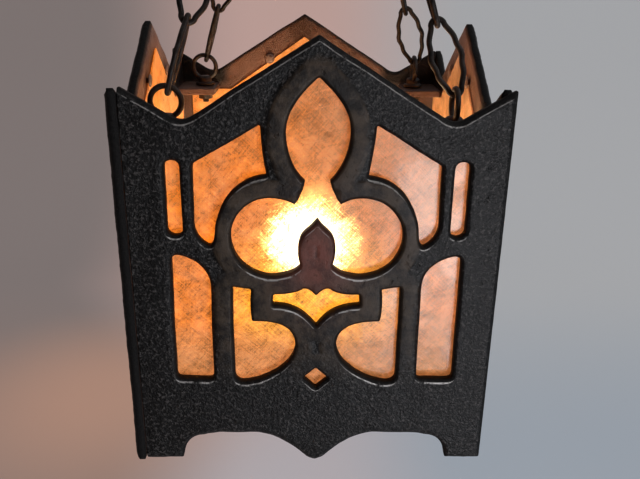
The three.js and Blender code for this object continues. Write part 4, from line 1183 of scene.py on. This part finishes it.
def bulb_surface():
    """A pear-shaped globe: its profile is a circle that runs into the neck by an S-curve, inside and out."""
    radius, wall = GLOBE_RADIUS - 0.1, 0.9
    polar = np.radians(np.linspace(-90, 38, 26))
    round_part = (0, globe_height) + radius * np.column_stack([np.cos(polar), np.sin(polar)])
    bend = (19.6, globe_height + 25.1, 12.8, globe_height + 33, 11.5, glass_high - 9)
    neck = trace(round_part[-1], bend, (11.5, glass_high), spacing=2.2)[1:]
    outer = np.vstack([round_part, neck])
    inner = outer - np.column_stack([np.minimum(outer[:, 0], wall), np.zeros(len(outer))])
    inner[:3, 1] += wall
    return turned(np.vstack([outer, inner[::-1]]), 64)


make_piece("pear_bulb", bulb_surface(), "bulb_glass", "bulb", "bulb_glass", 0)


# Room: a pale floor far below, soft light from the right, and the camera

FLOOR = -1.75
ROOM = 4.0


def seen_rays(bench):
    """1 for rays from the camera, a mirror or through glass, and 0 for those that carry light."""
    path = bench.node("ShaderNodeLightPath", {}, {})
    through = path.out("Is Glossy Ray") + path.out("Is Transmission Ray")
    return (path.out("Is Camera Ray") + through).held()


def room_finish():
    """Pale plaster, cooler to the right and near the lantern, greyer to the left, with a painted rosy pool
    of the lantern's light low on the left. Polished things mirror its side before the lantern dimly, a
    painted dark reflection."""
    bench, material = finish("pale plaster")
    at = bench.place()
    parts = bench.node("ShaderNodeSeparateXYZ", {}, {"Vector": at})
    near = parts.out("Y").between(2.7, 1.2)
    side = parts.out("X") * (1 + near)
    left = bench.mixed(near, (0.218, 0.184, 0.178), (0.250, 0.185, 0.165))
    middle = bench.mixed(near, (0.520, 0.355, 0.320), (0.425, 0.392, 0.412))
    right = bench.mixed(near, (0.400, 0.408, 0.422), (0.315, 0.352, 0.400))
    tone = bench.mixed(side.between(-1.25, -0.30), left, middle)
    tone = bench.mixed(side.between(0.05, 1.0), tone, right)
    # Painted light: a rosy pool of the lantern's glow low on the left.
    from_painted_pool = bench.distance(at, (-0.72, 1.62, FLOOR))
    tone = bench.mixed(from_painted_pool.between(0.8, 0.05) * 0.85, tone, (0.450, 0.265, 0.195))
    path = bench.node("ShaderNodeLightPath", {}, {})
    # Painted dark reflection: glossy rays see the room's side before the lantern dimmed, so polished parts
    # mirror darkness there.
    before = parts.out("Y").between(0.6, -1.2)
    painted_reflection_level = (path.out("Is Glossy Ray") + path.out("Is Transmission Ray")).held() * (1 - 0.88 * before)
    shown = bench.mixed((path.out("Is Camera Ray") + painted_reflection_level).held(), (0, 0, 0), tone)
    bench.surface(
        Base_Color=tone,
        Roughness=0.9,
        Specular_IOR_Level=0.1,
        Emission_Color=shown,
        Emission_Strength=0.8,
    )
    return material


def room_surface():
    """A floor that bends up into a round wall: the profile is a line, a quarter circle and a line."""
    bend = np.radians(np.linspace(-90, 0, 13))
    curve = [(ROOM - 1 + math.cos(a), FLOOR + 1 + math.sin(a)) for a in bend]
    profile = np.array([(0, FLOOR), (1, FLOOR), (2, FLOOR), *curve, (ROOM, FLOOR + 4), (ROOM, FLOOR + 8)])
    return turned(profile / MM, 96).flipped()


room_mesh = mesh_of("room", room_surface())
room_mesh.shade_smooth()
room_mesh.materials.append(room_finish())
plaster = bpy.data.objects.new("room", room_mesh)
bpy.context.scene.collection.objects.link(plaster)

world = bpy.data.worlds.new("sky")
bpy.context.scene.world = world
sky = Bench(world)
overhead = sky.mixed(seen_rays(sky), (0.35, 0.34, 0.34), (0.34, 0.34, 0.35))
backdrop = sky.node("ShaderNodeBackground", {}, {"Color": overhead}).out()
sky.node("ShaderNodeOutputWorld", {}, {"Surface": backdrop})


def soft_lamp(name, at, target, size, radiance, colour):
    """A square lamp of a given brightness: power = radiance * pi * area."""
    light = bpy.data.lights.new(name, "AREA")
    light.shape, light.size, light.color = "SQUARE", size, colour
    light.energy = radiance * math.pi * size**2
    lamp = bpy.data.objects.new(name, light)
    lamp.location = at
    lamp.rotation_euler = (Vector(target) - Vector(at)).to_track_quat("-Z", "Y").to_euler()
    bpy.context.scene.collection.objects.link(lamp)


LANTERN_MIDDLE = (0, 0, -0.53)
soft_lamp("low_window", (0.60, -1.5, -1.00), LANTERN_MIDDLE, 0.80, 5.2, (0.95, 0.95, 1.0))
soft_lamp("high_window", (1.55, -0.75, 0.78), LANTERN_MIDDLE, 0.5, 8.0, (1.0, 0.99, 0.97))

YAW, PITCH, ROLL = 0.0245, 0.3568, 0.0144
FOCAL_LENGTH, FRAME_WIDTH, FILM_WIDTH = 706.35, 640, 36  # the first two in pixels
CAMERA_AT = (-4.2, -558.4, 334.1)  # above the panels' soles

camera_data = bpy.data.cameras.new("camera")
camera_data.sensor_width, camera_data.lens = FILM_WIDTH, FOCAL_LENGTH / FRAME_WIDTH * FILM_WIDTH
camera_data.clip_start, camera_data.clip_end = 0.01, 400
camera = bpy.data.objects.new("camera", camera_data)
look = Matrix.Rotation(-YAW, 4, "Z") @ Matrix.Rotation(math.pi / 2 - PITCH, 4, "X")
look = look @ Matrix.Rotation(ROLL, 4, "Z")
camera.matrix_world = Matrix.Translation((Vector(CAMERA_AT) + Vector((0, 0, sole))) * MM) @ look
bpy.context.scene.collection.objects.link(camera)
bpy.context.scene.camera = camera
bpy.context.scene.view_settings.view_transform = "Standard"
